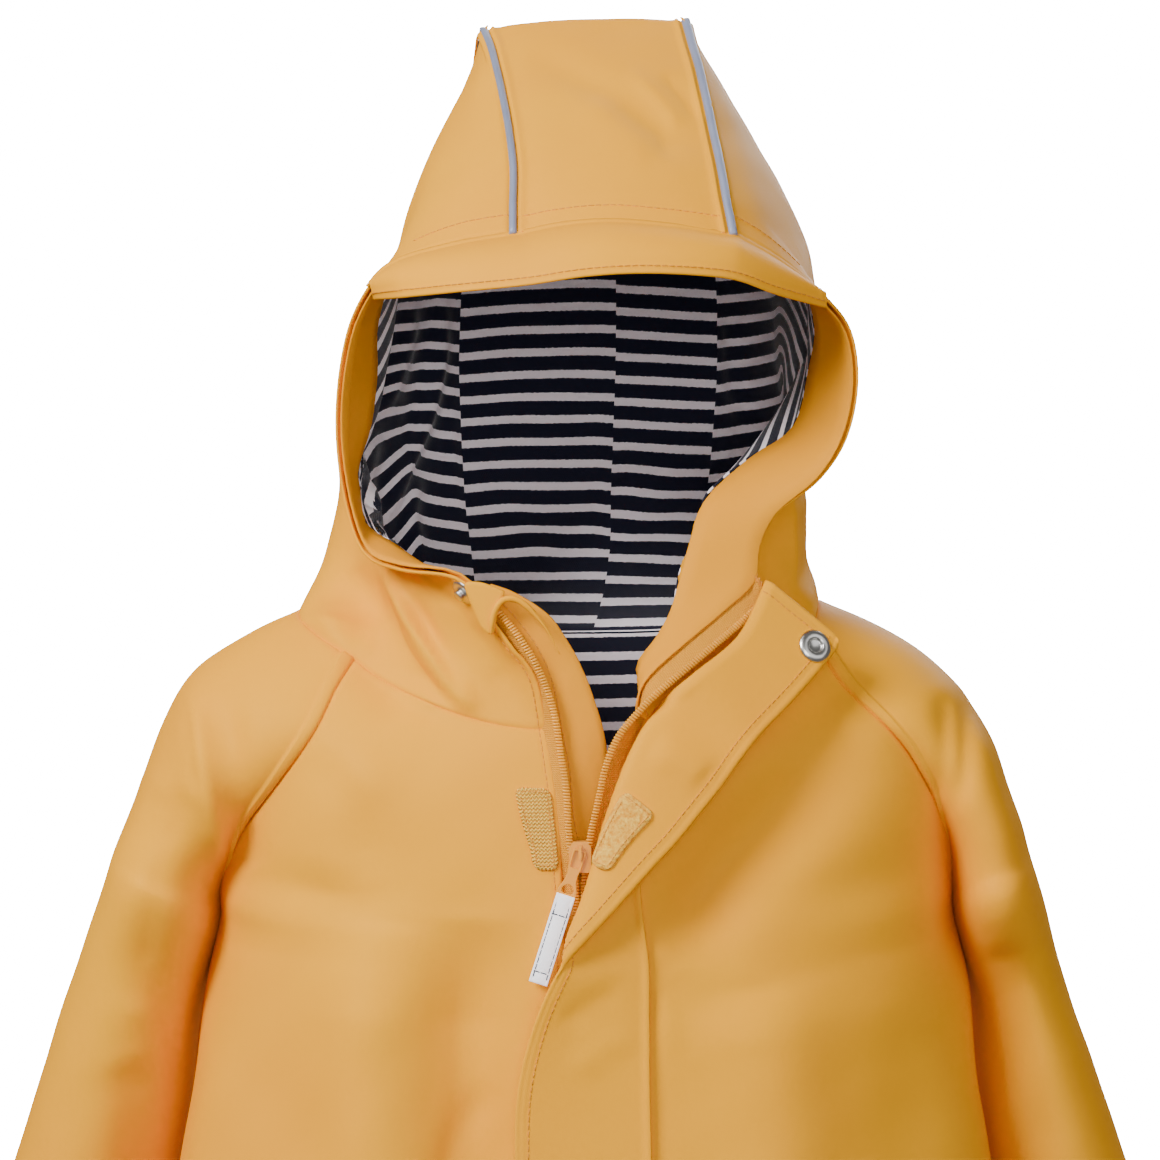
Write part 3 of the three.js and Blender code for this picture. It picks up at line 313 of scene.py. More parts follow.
def back_grid():
    middle = through(BACK_CENTRE, BODY / LAST_ROW)
    turn = through(BACK_TURN, BODY / LAST_ROW)
    t = np.linspace(0, 1, BACK_COLS // 2 * FINE + 1)
    right, left = (
        half_rows(middle, seam_points(SIDES[s], BODY, 1.0), turn, t) for s in ("right", "left")
    )
    return np.concatenate([right[:, ::-1], left[:, 1:]], 1)


def sleeve_grid(side):
    u = np.linspace(0, 1, SLEEVE_COLS * FINE + 1)
    return sleeve_points(side, u[None, :], (BODY / LAST_ROW)[:, None])


def patch(bottom, top, start, end, bulge=(0, 0, 0)):
    """Smoothly blended patch inside four edges."""

    def along(points):
        run = run_of(points)
        return run / run[-1]

    u = ((along(bottom) + along(top)) / 2)[None, :, None]
    v = ((along(start) + along(end)) / 2)[:, None, None]
    full = 16 * u * (1 - u) * v * (1 - v)
    edges = (1 - v) * bottom[None] + v * top[None] + (1 - u) * start[:, None] + u * end[:, None]
    low = (1 - u) * (1 - v) * bottom[0] + u * (1 - v) * bottom[-1]
    high = (1 - u) * v * top[0] + u * v * top[-1]
    return edges - low - high + full * np.array(bulge, float)


def neckline(front, sleeve, back, is_right):
    top = back[-1]
    nape = top[: NAPE_FROM * FINE + 1] if is_right else top[NAPE_TO * FINE :][::-1]
    return np.concatenate([front[-1], sleeve[-1][1:], nape[1:]])


def hood_side(side, neck):
    """From the opening edge to the lining's line, then the main part to the back seam."""
    count = (len(side["opening"]) - 1) * FINE
    bottom = neck[FINE:]
    start = sample([bottom[0], *side["lining_start"]], count)
    seam = sample([neck[-1], *side["back_seam"]], count)
    top = sample(side["crown"], len(bottom) - 1)
    main = patch(bottom, top, start, seam, side["bulge"])
    edge = sample([neck[0], *side["opening"][1:]], count)
    way = unit(main[:, :1] - edge[:, None])
    far = lengths(main - main[:, :1])
    pull = side["flow"] * np.exp(-far / FLOW_REACH)
    pull[0] = pull[-1] = 0
    main = main + pull * (main[:, :1] + way * far - main)
    # The strip beside the opening runs on into the main part with little crease.
    strip = []
    for t in np.linspace(0, 1, FINE + 1)[1:-1]:
        curved = through([edge, main[:, 0], main[:, FINE]], t / 2)
        strip.append((curved + edge + (main[:, 0] - edge) * t) / 2)
    return np.concatenate([edge[:, None], np.stack(strip, 1), main], 1)


def hood_centre(right, left, back):
    a, b = (np.concatenate([g[-1][0:], g[:, -1][::-1][1:]]) for g in (right, left))
    nape = back[-1][NAPE_FROM * FINE : NAPE_TO * FINE + 1]
    brim = sample([a[0], *BRIM, b[0]], (NAPE_TO - NAPE_FROM) * FINE)
    return patch(brim, nape, a, b)


def normals_of(grid, flip):
    du = np.gradient(grid, axis=1)
    dv = np.gradient(grid, axis=0)
    return unit(np.cross(du, dv)) * (-1 if flip else 1)


# Panels
front = {s: front_grid(SIDES[s]) for s in SIDES}
sleeve = {s: sleeve_grid(SIDES[s]) for s in SIDES}
back = back_grid()
neck = {s: neckline(front[s], sleeve[s], back, s == "right") for s in SIDES}
hood = {s: hood_side(SIDES[s], neck[s]) for s in SIDES}
centre = hood_centre(hood["right"], hood["left"], back)


class Panel:
    """A piece's grid of points with its outward normals."""

    def __init__(self, grid, flip):
        self.grid, self.flip = grid, flip
        self.normals = normals_of(grid, flip)

    def crop(self, rows, cols):
        (j0, j1), (i0, i1) = rows, cols
        part = Panel.__new__(Panel)
        j1 = self.grid.shape[0] if j1 is None else j1 + 1
        i1 = self.grid.shape[1] if i1 is None else i1 + 1
        part.flip = self.flip
        part.grid = self.grid[j0:j1, i0:i1].copy()
        part.normals = self.normals[j0:j1, i0:i1].copy()
        return part

    def at(self, j, i):
        """Point and normal at a fractional row and column."""
        j0 = min(int(j), self.grid.shape[0] - 2)
        i0 = min(int(i), self.grid.shape[1] - 2)
        u, v = i - i0, j - j0

        def mean(g):
            low = g[j0, i0] * (1 - u) + g[j0, i0 + 1] * u
            high = g[j0 + 1, i0] * (1 - u) + g[j0 + 1, i0 + 1] * u
            return low * (1 - v) + high * v

        return mean(self.grid), unit(mean(self.normals))


panels = {
    "front_right": Panel(front["right"], True),
    "front_left": Panel(front["left"], False),
    "sleeve_right": Panel(sleeve["right"], True),
    "sleeve_left": Panel(sleeve["left"], False),
    "back_panel": Panel(back, True),
    "hood_side_right": Panel(hood["right"], True),
    "hood_side_left": Panel(hood["left"], False),
    "hood_centre": Panel(centre, False),
}


def share_normals(group):
    """Panels that share seam points get one common normal there, so that they meet."""
    met = {}
    for p in group:
        rows, cols = p.grid.shape[:2]
        spots = [(j, i) for j in range(rows) for i in range(cols)]
        for j, i in spots:
            if j not in (0, rows - 1) and i not in (0, cols - 1):
                continue
            key = tuple(np.round(p.grid[j, i] * 4).astype(int))  # to a quarter of a millimetre
            met.setdefault(key, []).append((p, j, i, p.normals[j, i].copy()))
    for found in met.values():
        for p, j, i, own in found:
            near = [n for _, _, _, n in found if n @ own > -0.2]
            p.normals[j, i] = unit(np.sum(near, 0))


share_normals(list(panels.values()))


def edge_distances(grid):
    """Distance in mm from each point to the four sides: start, end, first row, last row."""
    du = np.linalg.norm(np.diff(grid, axis=1), axis=2)
    dv = np.linalg.norm(np.diff(grid, axis=0), axis=2)
    across = np.concatenate([np.zeros((len(grid), 1)), np.cumsum(du, 1)], 1)
    along = np.concatenate([np.zeros((1, grid.shape[1])), np.cumsum(dv, 0)], 0)
    return across, across[:, -1:] - across, along, along[-1:] - along


# Meshes
def new_object(name, points, faces, material, body="coat", uvs=None):
    mesh = bpy.data.meshes.new(name)
    mesh.from_pydata([tuple(p) for p in np.asarray(points) / 1000], [], faces)
    mesh.validate()
    if uvs is not None:
        layer = mesh.uv_layers.new(name="cloth")
        index = np.zeros(len(mesh.loops), int)
        mesh.loops.foreach_get("vertex_index", index)
        layer.data.foreach_set("uv", np.asarray(uvs, float)[index].ravel())
    mesh.materials.append(material)
    obj = bpy.data.objects.new(name, mesh)
    bpy.context.scene.collection.objects.link(obj)
    mesh.polygons.foreach_set("use_smooth", [True] * len(mesh.polygons))
    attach(obj, body)
    return obj


def tube_faces(rings, sides, base=0):
    """Faces of a closed tube of rings of points, with its end caps."""
    faces = []
    for r in range(rings - 1):
        for s in range(sides):
            n = (s + 1) % sides
            low, high = base + r * sides, base + (r + 1) * sides
            faces.append([low + s, low + n, high + n, high + s])
    faces.append([base + s for s in range(sides)][::-1])
    faces.append([base + (rings - 1) * sides + s for s in range(sides)])
    return faces


RIM_BULGE = 0.8  # of half the cloth's thickness


def shell_mesh(panel, outer, inner):
    """Points, faces and grid indexes of a closed thin shell over a panel's grid."""
    grid, normals = panel.grid, panel.normals
    rows, cols = grid.shape[:2]
    outer = np.broadcast_to(outer, (rows, cols))[..., None]
    inner = np.broadcast_to(inner, (rows, cols))[..., None]
    top = (grid + normals * outer).reshape(-1, 3)
    under = (grid + normals * inner).reshape(-1, 3)
    n = rows * cols
    faces = []
    for j in range(rows - 1):
        for i in range(cols - 1):
            a = j * cols + i
            quad = [a, a + 1, a + cols + 1, a + cols]
            low = [n + k for k in reversed(quad)]
            faces += [quad, low] if not panel.flip else [quad[::-1], low[::-1]]
    rim = list(range(cols - 1))
    rim += [j * cols + cols - 1 for j in range(rows - 1)]
    rim += [rows * cols - 1 - i for i in range(cols - 1)]
    rim += [(rows - 1 - j) * cols for j in range(rows - 1)]
    points = [top, under]
    # A middle line, pushed out by half the cloth's thickness, rounds the rim.
    mid = []
    half = np.abs(outer - inner).reshape(-1) / 2
    for a in rim:
        j, i = divmod(a, cols)
        inside = np.array([0.0, 0, 0])
        if j == 0:
            inside += unit(grid[0, i] - grid[1, i])
        if j == rows - 1:
            inside += unit(grid[-1, i] - grid[-2, i])
        if i == 0:
            inside += unit(grid[j, 0] - grid[j, 1])
        if i == cols - 1:
            inside += unit(grid[j, -1] - grid[j, -2])
        centre_point = (top[a] + under[a]) / 2
        mid.append(centre_point + unit(inside) * half[a] * RIM_BULGE)
    points.append(np.array(mid))
    base = 2 * n
    count = len(rim)
    for k, a in enumerate(rim):
        b = rim[(k + 1) % count]
        m, m2 = base + k, base + (k + 1) % count
        pair = [[b, a, m, m2], [m2, m, n + a, n + b]]
        faces += pair if not panel.flip else [q[::-1] for q in pair]
    return np.concatenate(points), faces, rim


def cloth(name, panel, outer, inner, material, stripes=None, replaces=None):
    """A sheet of cloth as a closed shell between two heights, and what the table says of it."""
    points, faces, rim = shell_mesh(panel, outer, inner)
    across, _, along, _ = edge_distances(panel.grid)
    v = along if stripes is None else stripes
    flat = np.stack([across, v], -1).reshape(-1, 2) / 1000
    uvs = np.concatenate([flat, flat, flat[rim]])
    obj = new_object(name, points, faces, material, uvs=uvs)
    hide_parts(replaces or name.replace("_cloth", ""))


# Folds. Each is a line in the plane of the front, as the camera sees it: points x z, then its
# half width and its height in mm. A negative height is a trough.
FRONT_FOLDS = [
    ([(-172, -75), (-180, -122), (-184, -172)], 13, -6.0),
    ([(-190, -190), (-184, -225), (-186, -300)], 14, -5.0),
    ([(-163, -31), (-158, -75), (-149, -110)], 8, 4.0),
    ([(-150, -36), (-146, -78), (-140, -112)], 8, -3.5),
    ([(155, -35), (157, -60), (155, -84)], 7, -4.0),
    ([(166, -40), (168, -90), (176, -150)], 12, 4.5),
    ([(178, -140), (188, -190), (196, -250)], 14, -4.5),
    ([(-46, -130), (-48, -190), (-46, -250), (-50, -360)], 18, -12.0),
    ([(-82, -130), (-90, -190), (-90, -250), (-96, -340)], 22, 10.5),
    ([(-84, -60), (-100, -90), (-108, -120)], 16, 3.0),
    ([(40, -150), (56, -116), (82, -88), (116, -46)], 18, -12.0),
    ([(74, -160), (84, -210), (88, -310)], 26, 8.0),
    ([(140, -170), (142, -220), (136, -290)], 18, -3.0),
    ([(8, -186), (24, -168), (36, -158)], 7, -1.6),
    ([(-40, -330), (-30, -400), (-44, -490)], 16, 3.0),
    ([(140, -330), (128, -400), (136, -490)], 18, -3.5),
    ([(-150, -380), (-142, -430), (-152, -490)], 16, -3.5),
]
HOOD_FOLDS = [
    ([(-82, 10), (-74, -16), (-56, -40)], 8, 3.4),
    ([(-98, 6), (-88, -22), (-70, -46)], 10, -3.4),
    ([(-112, 10), (-100, -10), (-88, -20)], 7, 1.8),
    ([(-98, 56), (-104, 24), (-104, -6)], 15, -9.0),
    ([(-36, -10), (-24, -20), (-16, -26)], 4, 1.3),
    ([(-40, -18), (-30, -32), (-24, -42)], 4, -1.3),
    ([(-24, 232), (6, 220), (30, 204), (42, 190)], 7, -2.2),
    ([(2, 214), (18, 200), (34, 190)], 9, 1.2),
    ([(78, 20), (88, 6), (96, -2)], 6, 2.2),
    ([(-70, 216), (-80, 180), (-92, 150)], 12, 1.6),
    ([(74, 210), (88, 176), (98, 150)], 12, -1.6),
]
FLAP_FOLDS = [
    ([(-8, -176), (4, -168), (20, -158)], 5, -1.0),
    ([(-4, -196), (10, -186), (24, -178)], 6, 0.9),
    ([(30, -60), (44, -66), (52, -72)], 7, -1.8),
]
# The same in the plane of the back
BACK_FOLDS = [
    ([(-60, -40), (-52, -120), (-62, -220)], 20, -3.5),
    ([(70, -60), (58, -140), (66, -240)], 22, -3.5),
    ([(4, -90), (-4, -180), (6, -300)], 24, 3.5),
    ([(-120, -150), (-126, -240), (-130, -340)], 20, 3.0),
    ([(124, -170), (126, -260), (134, -360)], 20, 3.0),
    ([(-36, -330), (-30, -410), (-40, -490)], 18, -3.5),
    ([(60, -330), (52, -400), (62, -490)], 18, -3.0),
    ([(-216, -120), (-226, -200), (-238, -290)], 12, -4.0),
    ([(214, -120), (224, -200), (236, -290)], 12, -4.0),
    ([(-50, 60), (-30, 30), (-10, 18)], 10, -2.0),
    ([(50, 70), (34, 36), (10, 20)], 10, 2.0),
    ([(0, 190), (6, 140), (2, 90)], 14, -2.0),
]


def camera_plane(points):
    """x and z where the camera sees each point, on the plane of the front."""
    scale = (PLANE_Y - CAM_Y) / (points[..., 1] - CAM_Y)
    return np.stack([points[..., 0] * scale, (points[..., 2] - CAM_Z) * scale + CAM_Z], -1)


FOLD_STEPS = 24


def fold_height(flat, folds):
    """Height of soft folds at points x z."""
    height = np.zeros(flat.shape[:-1])
    for line, half_width, high in folds:
        path = sample(np.array(line, float), FOLD_STEPS)
        best = np.full(height.shape, 1e9)
        where = np.zeros(height.shape)
        for k in range(FOLD_STEPS):
            a, way = path[k], path[k + 1] - path[k]
            t = np.clip(((flat - a) @ way) / (way @ way), 0, 1)
            far = np.linalg.norm(flat - a - t[..., None] * way, axis=-1)
            closer = far < best
            best = np.where(closer, far, best)
            where = np.where(closer, (k + t) / FOLD_STEPS, where)
        ends = np.clip(np.sin(np.pi * np.clip(where, 0.02, 0.98)) * 1.4, 0, 1)
        height += high * ends * np.exp(-((best / half_width) ** 2))
    return height


def ripples(points, size, phase):
    """Slow unevenness, at most 1 either way."""
    x, y, z = np.moveaxis(points / size, -1, 0)
    a = np.sin(x * 1.3 + 0.7 * z + phase) * np.sin(z * 0.9 - 0.4 * y + 2 * phase)
    b = np.sin(2.1 * z - 1.7 * x + 0.8 * y + 3 * phase) * 0.5
    return (a + b) / 1.5


def fade(distance, reach):
    t = np.clip(distance / reach, 0, 1)
    return t * t * (3 - 2 * t)


# How far the body fills out to the sleeves below the armpit, at which height and how widely
SIDE_SWELL = 3.0
SWELL_Z = -172
SWELL_REACH = 26


def fold_panel(name, panel):
    """Moves a panel's points by its folds and slow unevenness."""
    points, normals = panel.grid, panel.normals
    faces_front = np.clip(0.25 - normals[..., 1] * 1.5, 0, 1)
    move = fold_height(camera_plane(points), FRONT_FOLDS + HOOD_FOLDS) * faces_front
    flat = np.stack([points[..., 0], points[..., 2]], -1)
    move += fold_height(flat, BACK_FOLDS) * np.clip(normals[..., 1] * 1.5 - 0.25, 0, 1)
    move += 0.7 * ripples(points, 34.0, 0.4) + 0.3 * ripples(points, 13.0, 1.9)
    if name.startswith(("front", "back")):
        across, from_end, _, _ = edge_distances(points)
        near = np.minimum(from_end, across if name == "back_panel" else 1e9)
        above = (points[..., 2] - SWELL_Z) / SWELL_REACH
        move += SIDE_SWELL * np.exp(-((near / SWELL_REACH) ** 2) - above**2)
    if name.startswith("hood_side"):
        # The opening's edge keeps its place.
        move *= fade(edge_distances(points)[0], 30.0)
    if name.startswith("front"):
        move *= fade(edge_distances(points)[0] + 4, 24.0)
    panel.grid = points + normals * move[..., None]


for name, panel in panels.items():
    fold_panel(name, panel)
for panel in panels.values():
    panel.normals = normals_of(panel.grid, panel.flip)
share_normals(list(panels.values()))


# Materials
def srgb(*levels):
    """Linear colour of levels from 0 to 255."""
    linear = [((c / 255 + 0.055) / 1.055) ** 2.4 if c > 10 else c / 255 / 12.92 for c in levels]
    return (*linear, 1)


class Nodes:
    """A material's node tree, with short calls to add to it."""

    def __init__(self, name, **sockets):
        self.material = bpy.data.materials.new(name)
        self.material.use_nodes = True
        self.tree = self.material.node_tree
        self.shader = self.tree.nodes["Principled BSDF"]
        for key, value in sockets.items():
            self.shader.inputs[key.replace("_", " ")].default_value = value

    def add(self, kind, **values):
        node = self.tree.nodes.new(kind)
        for key, value in values.items():
            if hasattr(node, key):
                setattr(node, key, value)
            else:
                node.inputs[key.replace("_", " ")].default_value = value
        return node

    def link(self, out, into):
        self.tree.links.new(out, into)

    def ramp(self, factor, stops):
        node = self.add("ShaderNodeValToRGB")
        ramp = node.color_ramp
        while len(ramp.elements) < len(stops):
            ramp.elements.new(0.5)
        for element, (at, colour) in zip(ramp.elements, stops):
            element.position, element.color = at, colour
        self.link(factor, node.inputs["Fac"])
        return node.outputs["Color"]

    def base_colour(self, factor, stops):
        """The shader's colour, from a factor along sRGB stops."""
        stops = [(at, srgb(*levels)) for at, levels in stops]
        self.link(self.ramp(factor, stops), self.shader.inputs["Base Color"])

    def noise(self, scale, detail=3.0, roughness=0.5):
        where = self.add("ShaderNodeTexCoord").outputs["Object"]
        node = self.add("ShaderNodeTexNoise", Scale=scale, Detail=detail, Roughness=roughness)
        self.link(where, node.inputs["Vector"])
        return node.outputs["Fac"]

    def bump(self, height, distance, strength=1.0):
        node = self.add("ShaderNodeBump", Strength=strength, Distance=distance)
        self.link(height, node.inputs["Height"])
        before = self.shader.inputs["Normal"].links
        if before:
            self.link(before[0].from_socket, node.inputs["Normal"])
        self.link(node.outputs["Normal"], self.shader.inputs["Normal"])

    def flat_place(self):
        """Coordinates across and along the cloth, in metres."""
        parts = self.add("ShaderNodeSeparateXYZ")
        self.link(self.add("ShaderNodeTexCoord").outputs["UV"], parts.inputs["Vector"])
        return parts.outputs["X"], parts.outputs["Y"]

    def wave(self, place, pitch):
        return self.maths("SINE", self.maths("MULTIPLY", place, 2 * math.pi / pitch))

    def maths(self, operation, a, b=None, c=None):
        node = self.add("ShaderNodeMath", operation=operation)
        for slot, value in enumerate((a, b, c)):
            if isinstance(value, (int, float)):
                node.inputs[slot].default_value = value
            elif value is not None:
                self.link(value, node.inputs[slot])
        return node.outputs["Value"]


CLOTH = (246, 170, 10)
CLOTH_DEEP = (241, 161, 20)
NAVY = (22, 23, 42)
WHITE = (250, 240, 246)
STRIPE = 10.8  # mm from one stripe to the next


def coated_cloth(name, low=CLOTH_DEEP, high=CLOTH, roughness=0.5):
    m = Nodes(name, Roughness=roughness, Specular_IOR_Level=0.05)
    m.base_colour(m.noise(9.0), [(0.3, low), (0.7, high)])
    m.bump(m.noise(2600.0, 2.0), 0.00012, 0.5)
    m.bump(m.noise(420.0, 2.0), 0.0003, 0.25)
    return m.material


def striped_jersey(name):
    m = Nodes(name, Roughness=0.9, Specular_IOR_Level=0.15)
    m.shader.inputs["Sheen Weight"].default_value = 0.25
    m.shader.inputs["Sheen Roughness"].default_value = 0.5
    across, along = m.flat_place()
    uneven = m.maths("MULTIPLY_ADD", m.noise(700.0, 2.0), 0.0007, -0.00035)
    where = m.maths("FRACT", m.maths("DIVIDE", m.maths("ADD", along, uneven), STRIPE / 1000))
    near = m.maths("ABSOLUTE", m.maths("SUBTRACT", where, 0.5))
    m.base_colour(near, [(0.312, NAVY), (0.33, WHITE)])
    m.bump(m.maths("MULTIPLY", m.wave(across, 0.0009), m.wave(along, 0.0007)), 0.0001, 0.5)
    m.bump(m.noise(1500.0), 0.0002, 0.4)
    return m.material


def woven_tape(name, low, high, roughness=0.6, pitch=0.0009, depth=0.0002):
    m = Nodes(name, Roughness=roughness, Specular_IOR_Level=0.3)
    across, along = m.flat_place()
    y = m.maths("MULTIPLY", along, 2 * math.pi / pitch)
    weave = m.maths("SINE", m.maths("ADD", y, m.maths("MULTIPLY", m.wave(across, pitch), 1.4)))
    m.base_colour(m.maths("MULTIPLY_ADD", weave, 0.5, 0.5), [(0.1, low), (0.8, high)])
    m.bump(weave, depth, 0.8)
    return m.material


def looped(name, low, high):
    m = Nodes(name, Roughness=0.85, Specular_IOR_Level=0.2)
    fuzz = m.noise(620.0, detail=4.0, roughness=0.7)
    m.base_colour(fuzz, [(0.35, low), (0.65, high)])
    m.bump(fuzz, 0.0009, 1.0)
    return m.material


def plain(name, colour, roughness, metallic=0.0, grain=0.00004, scale=900.0, **more):
    m = Nodes(name, Roughness=roughness, Metallic=metallic, **more)
    m.base_colour(m.noise(40.0), [(0.35, [c * 0.93 for c in colour]), (0.65, colour)])
    m.bump(m.noise(scale), grain, 0.5)
    return m.material


shell_cloth = coated_cloth("coated_cloth")
# A darker copy of the coat cloth for the hood facings and the zip guard: painted shade, since these
# pieces lie in shade.
shaded_inner_cloth = coated_cloth("coated_cloth_inner", (232, 150, 22), (238, 158, 26), 0.55)
jersey = striped_jersey("striped_jersey")
piping_tape = plain("reflective_piping", (132, 138, 162), 0.4, 0.0, 0.00006, 2200.0)
yellow_tape = woven_tape("zip_tape", (228, 142, 24), (246, 174, 40))
hook_tape = woven_tape("hook_tape", (230, 150, 30), (255, 204, 84), 0.7, 0.0016, 0.0005)
loop_tape = looped("loop_tape", (230, 146, 26), (255, 204, 84))
white_tape = woven_tape("white_tape", (226, 226, 232), (246, 246, 250), 0.4, 0.0006, 0.00005)
# The tab's white tape glows a little: painted light that brightens it, not a lamp.
for node in white_tape.node_tree.nodes:
    if node.type == "BSDF_PRINCIPLED":
        node.inputs["Emission Color"].default_value = (0.95, 0.96, 1, 1)
        node.inputs["Emission Strength"].default_value = 0.7
thread = plain("thread", (226, 146, 26), 0.6, 0.0, 0.00005, 4000.0)
dark_thread = plain("dark_thread", (52, 54, 72), 0.7, 0.0, 0.00005, 4000.0)
coil_plastic = plain("coil_plastic", (244, 166, 34), 0.35)
snap_metal = plain("snap_metal", (206, 204, 200), 0.28, 1.0, 0.00003, 500.0)
painted_metal = plain(
    "painted_metal", (242, 160, 24), 0.36, 0.0, 0.00002, 300.0, Specular_IOR_Level=0.3
)

# Profiles across an edge: distance from it and height there, in mm. A seam's cloth goes on
# under its neighbour.
SEAM = [(-1.6, -1.4), (0, -0.6), (0.8, -0.3), (1.8, 0.05), (3.2, 0)]
EDGE = [(0, -0.1), (1.0, 0.1), (2.3, 0.12), (3.0, -0.12), (3.7, 0.1), (5.2, 0)]
BAND = [
    (-1.6, -1.4), (0, -0.9), (0.6, 0.3), (1.4, 1.1), (3.4, 0.9), (5.3, 1.35), (6.1, 1.0),
    (6.8, -0.2), (8.2, -0.2), (10.5, 0),
]
HEM = [(0, 0), (0.8, 0.3), (18.4, 0.35), (19.3, -0.1), (20.2, 0.15), (22, 0)]
PIPED = [
    (-1.6, -1.4), (0, -0.5), (4.1, -0.3), (4.9, 0.05), (5.5, 0.75), (6.2, 0.85), (7.2, 0.1),
    (9.5, -0.15), (13, 0),
]
PLAIN = [(0, 0), (1.5, 0)]


def respaced_rows(grid, start, end, widths, step):
    """Rows with the profiles' own distances at both ends, even steps between and heights added."""
    run = edge_distances(grid[..., :3])[0]
    steps = max(2, int(np.ceil(run[:, -1].max() / step)))
    a, b = np.array(start, float), np.array(end, float)
    out = []
    for j, (row, far) in enumerate(zip(grid, run)):
        length = max(far[-1], 1e-6)
        wide = widths[j] * min(1, 0.9 * length / ((a[-1, 0] + b[-1, 0]) * widths[j]))
        first, last = (np.where(p < 0, p, p * wide) for p in (a[:, 0], b[:, 0]))
        last = length - last[::-1]
        s = np.concatenate([first, np.linspace(first[-1], last[0], steps + 1)[1:-1], last])
        at = np.interp(s, far, np.arange(len(far)))
        new = through(row, at / (len(far) - 1))
        new[:, :3] += np.minimum(s, 0)[:, None] * unit(row[1, :3] - row[0, :3])
        new[:, :3] += np.maximum(s - length, 0)[:, None] * unit(row[-1, :3] - row[-2, :3])
        new[:, 3] += np.interp(s / wide, a[:, 0], a[:, 1])
        new[:, 3] += np.interp((length - s) / wide, b[:, 0], b[:, 1])
        out.append(new)
    return np.array(out)


def dense(panel, start, end, first, last, step=3.0, widths=None, creases=(), inward=False):
    """A closer copy of a panel, with its edges' profiles and narrow creases."""
    grid = np.concatenate([panel.grid, np.zeros(panel.grid.shape[:2] + (1,))], -1)
    widths = np.ones(len(grid)) if widths is None else widths
    grid = respaced_rows(grid, start, end, widths, step).swapaxes(0, 1)
    grid = respaced_rows(grid, first, last, np.ones(len(grid)), step).swapaxes(0, 1)
    copy = Panel(grid[..., :3], panel.flip)
    height = grid[..., 3].copy()
    if creases:
        side = -copy.normals[..., 1] if not inward else copy.normals[..., 1]
        seen = np.clip(0.3 + side * 1.5, 0, 1)
        sides = zip(edge_distances(copy.grid), (start, end, first, last))
        for distance, profile in sides:
            if profile[0][0] < 0:
                seen = seen * fade(distance - 1.6, 7.0)
        height += fold_height(camera_plane(copy.grid), creases) * seen * (-1 if inward else 1)
    if inward:
        # Where the shell is creased inwards, its lining gives way.
        seen = np.clip(0.3 - copy.normals[..., 1] * 1.5, 0, 1)
        height += np.minimum(fold_height(camera_plane(copy.grid), CREASES) * seen, 0) * 1.1
    copy.grid = copy.grid + copy.normals * height[..., None]
    return copy


def round_corners(panel, radius, corners):
    """Rounds corners: each is named by its column and row end, 0 or -1."""
    across, from_end, along, from_last = edge_distances(panel.grid)
    way_u = unit(np.gradient(panel.grid, axis=1))
    way_v = unit(np.gradient(panel.grid, axis=0))
    for u_end, v_end in corners:
        a = np.clip(radius - (across if u_end == 0 else from_end), 0, radius)
        b = np.clip(radius - (along if v_end == 0 else from_last), 0, radius)
        shift_u = a - a * np.sqrt(1 - b * b / (2 * radius * radius))
        shift_v = b - b * np.sqrt(1 - a * a / (2 * radius * radius))
        way = way_u * shift_u[..., None] * (1 if u_end == 0 else -1)
        panel.grid = panel.grid + way + way_v * shift_v[..., None] * (1 if v_end == 0 else -1)
    return panel


# Narrow creases in the cloth seen from the front: points x z, half width and height
CREASES = [
    ([(-163, -31), (-160, -58), (-157, -76), (-150, -109)], 3.2, 1.6),
    ([(-166, -40), (-164, -62), (-161, -80)], 3.6, -1.2),
    ([(156, -35), (157, -60), (155, -84)], 3.4, 1.6),
    ([(161, -40), (162, -62), (160, -84)], 3.8, -1.2),
    ([(-84, 17), (-70, -10), (-60, -26), (-45, -48)], 3.0, 5.2),
    ([(-96, 18), (-84, -6), (-72, -26), (-56, -46)], 7.0, -7.0),
    ([(-64, -12), (-53, -27), (-47, -37), (-45, -47)], 2.8, 2.6),
    ([(-72, 4), (-60, -17), (-50, -35)], 3.2, -3.0),
    ([(-44, 2), (-40, -16), (-34, -30)], 6.0, 1.8),
    ([(-110, 0), (-104, -14), (-96, -26)], 6.0, 1.6),
    ([(-36, -4), (-30, -14), (-24, -22)], 3.2, 1.1),
    ([(-66, -36), (-50, -44), (-30, -50)], 2.6, -1.0),
    ([(34, 224), (44, 214), (50, 204)], 2.8, -1.1),
    ([(20, 226), (34, 212), (42, 200)], 3.2, 0.9),
    ([(97, 48), (90, 38), (80, 34)], 2.6, 1.0),
    ([(-180, -150), (-170, -190), (-172, -240)], 5.0, -1.4),
    ([(-36, -200), (-52, -226), (-60, -262)], 7.0, -1.8),
    ([(16, -150), (34, -164), (40, -190)], 5.0, 1.0),
    ([(-112, -60), (-96, -86), (-88, -116)], 9.0, -1.2),
]
FLAP_CREASES = [
    ([(-6, -168), (4, -172), (16, -178)], 4.0, 0.8),
    ([(-16, -196), (4, -186), (26, -176)], 7.0, 1.2),
    ([(-20, -232), (2, -208), (26, -196)], 7.0, -1.2),
]
# On the lining: pleats at the wearer's right, and slack beside the seams
PLEATS = [
    ([(-60, 132), (-62, 104), (-68, 78), (-80, 52), (-84, 36)], 4.0, 7.0),
    ([(-74, 128), (-78, 104), (-86, 80)], 3.6, 4.5),
    ([(-52, 128), (-53, 80), (-52, 30)], 3.6, 2.2),
    ([(-90, 76), (-94, 52), (-88, 30)], 4.4, 4.0),
    ([(-70, 56), (-74, 38), (-68, 18)], 4.0, 4.0),
    ([(64, 124), (66, 96), (72, 70)], 4.5, 2.4),
    ([(4, 110), (14, 60), (10, 20)], 12.0, 2.0),
]

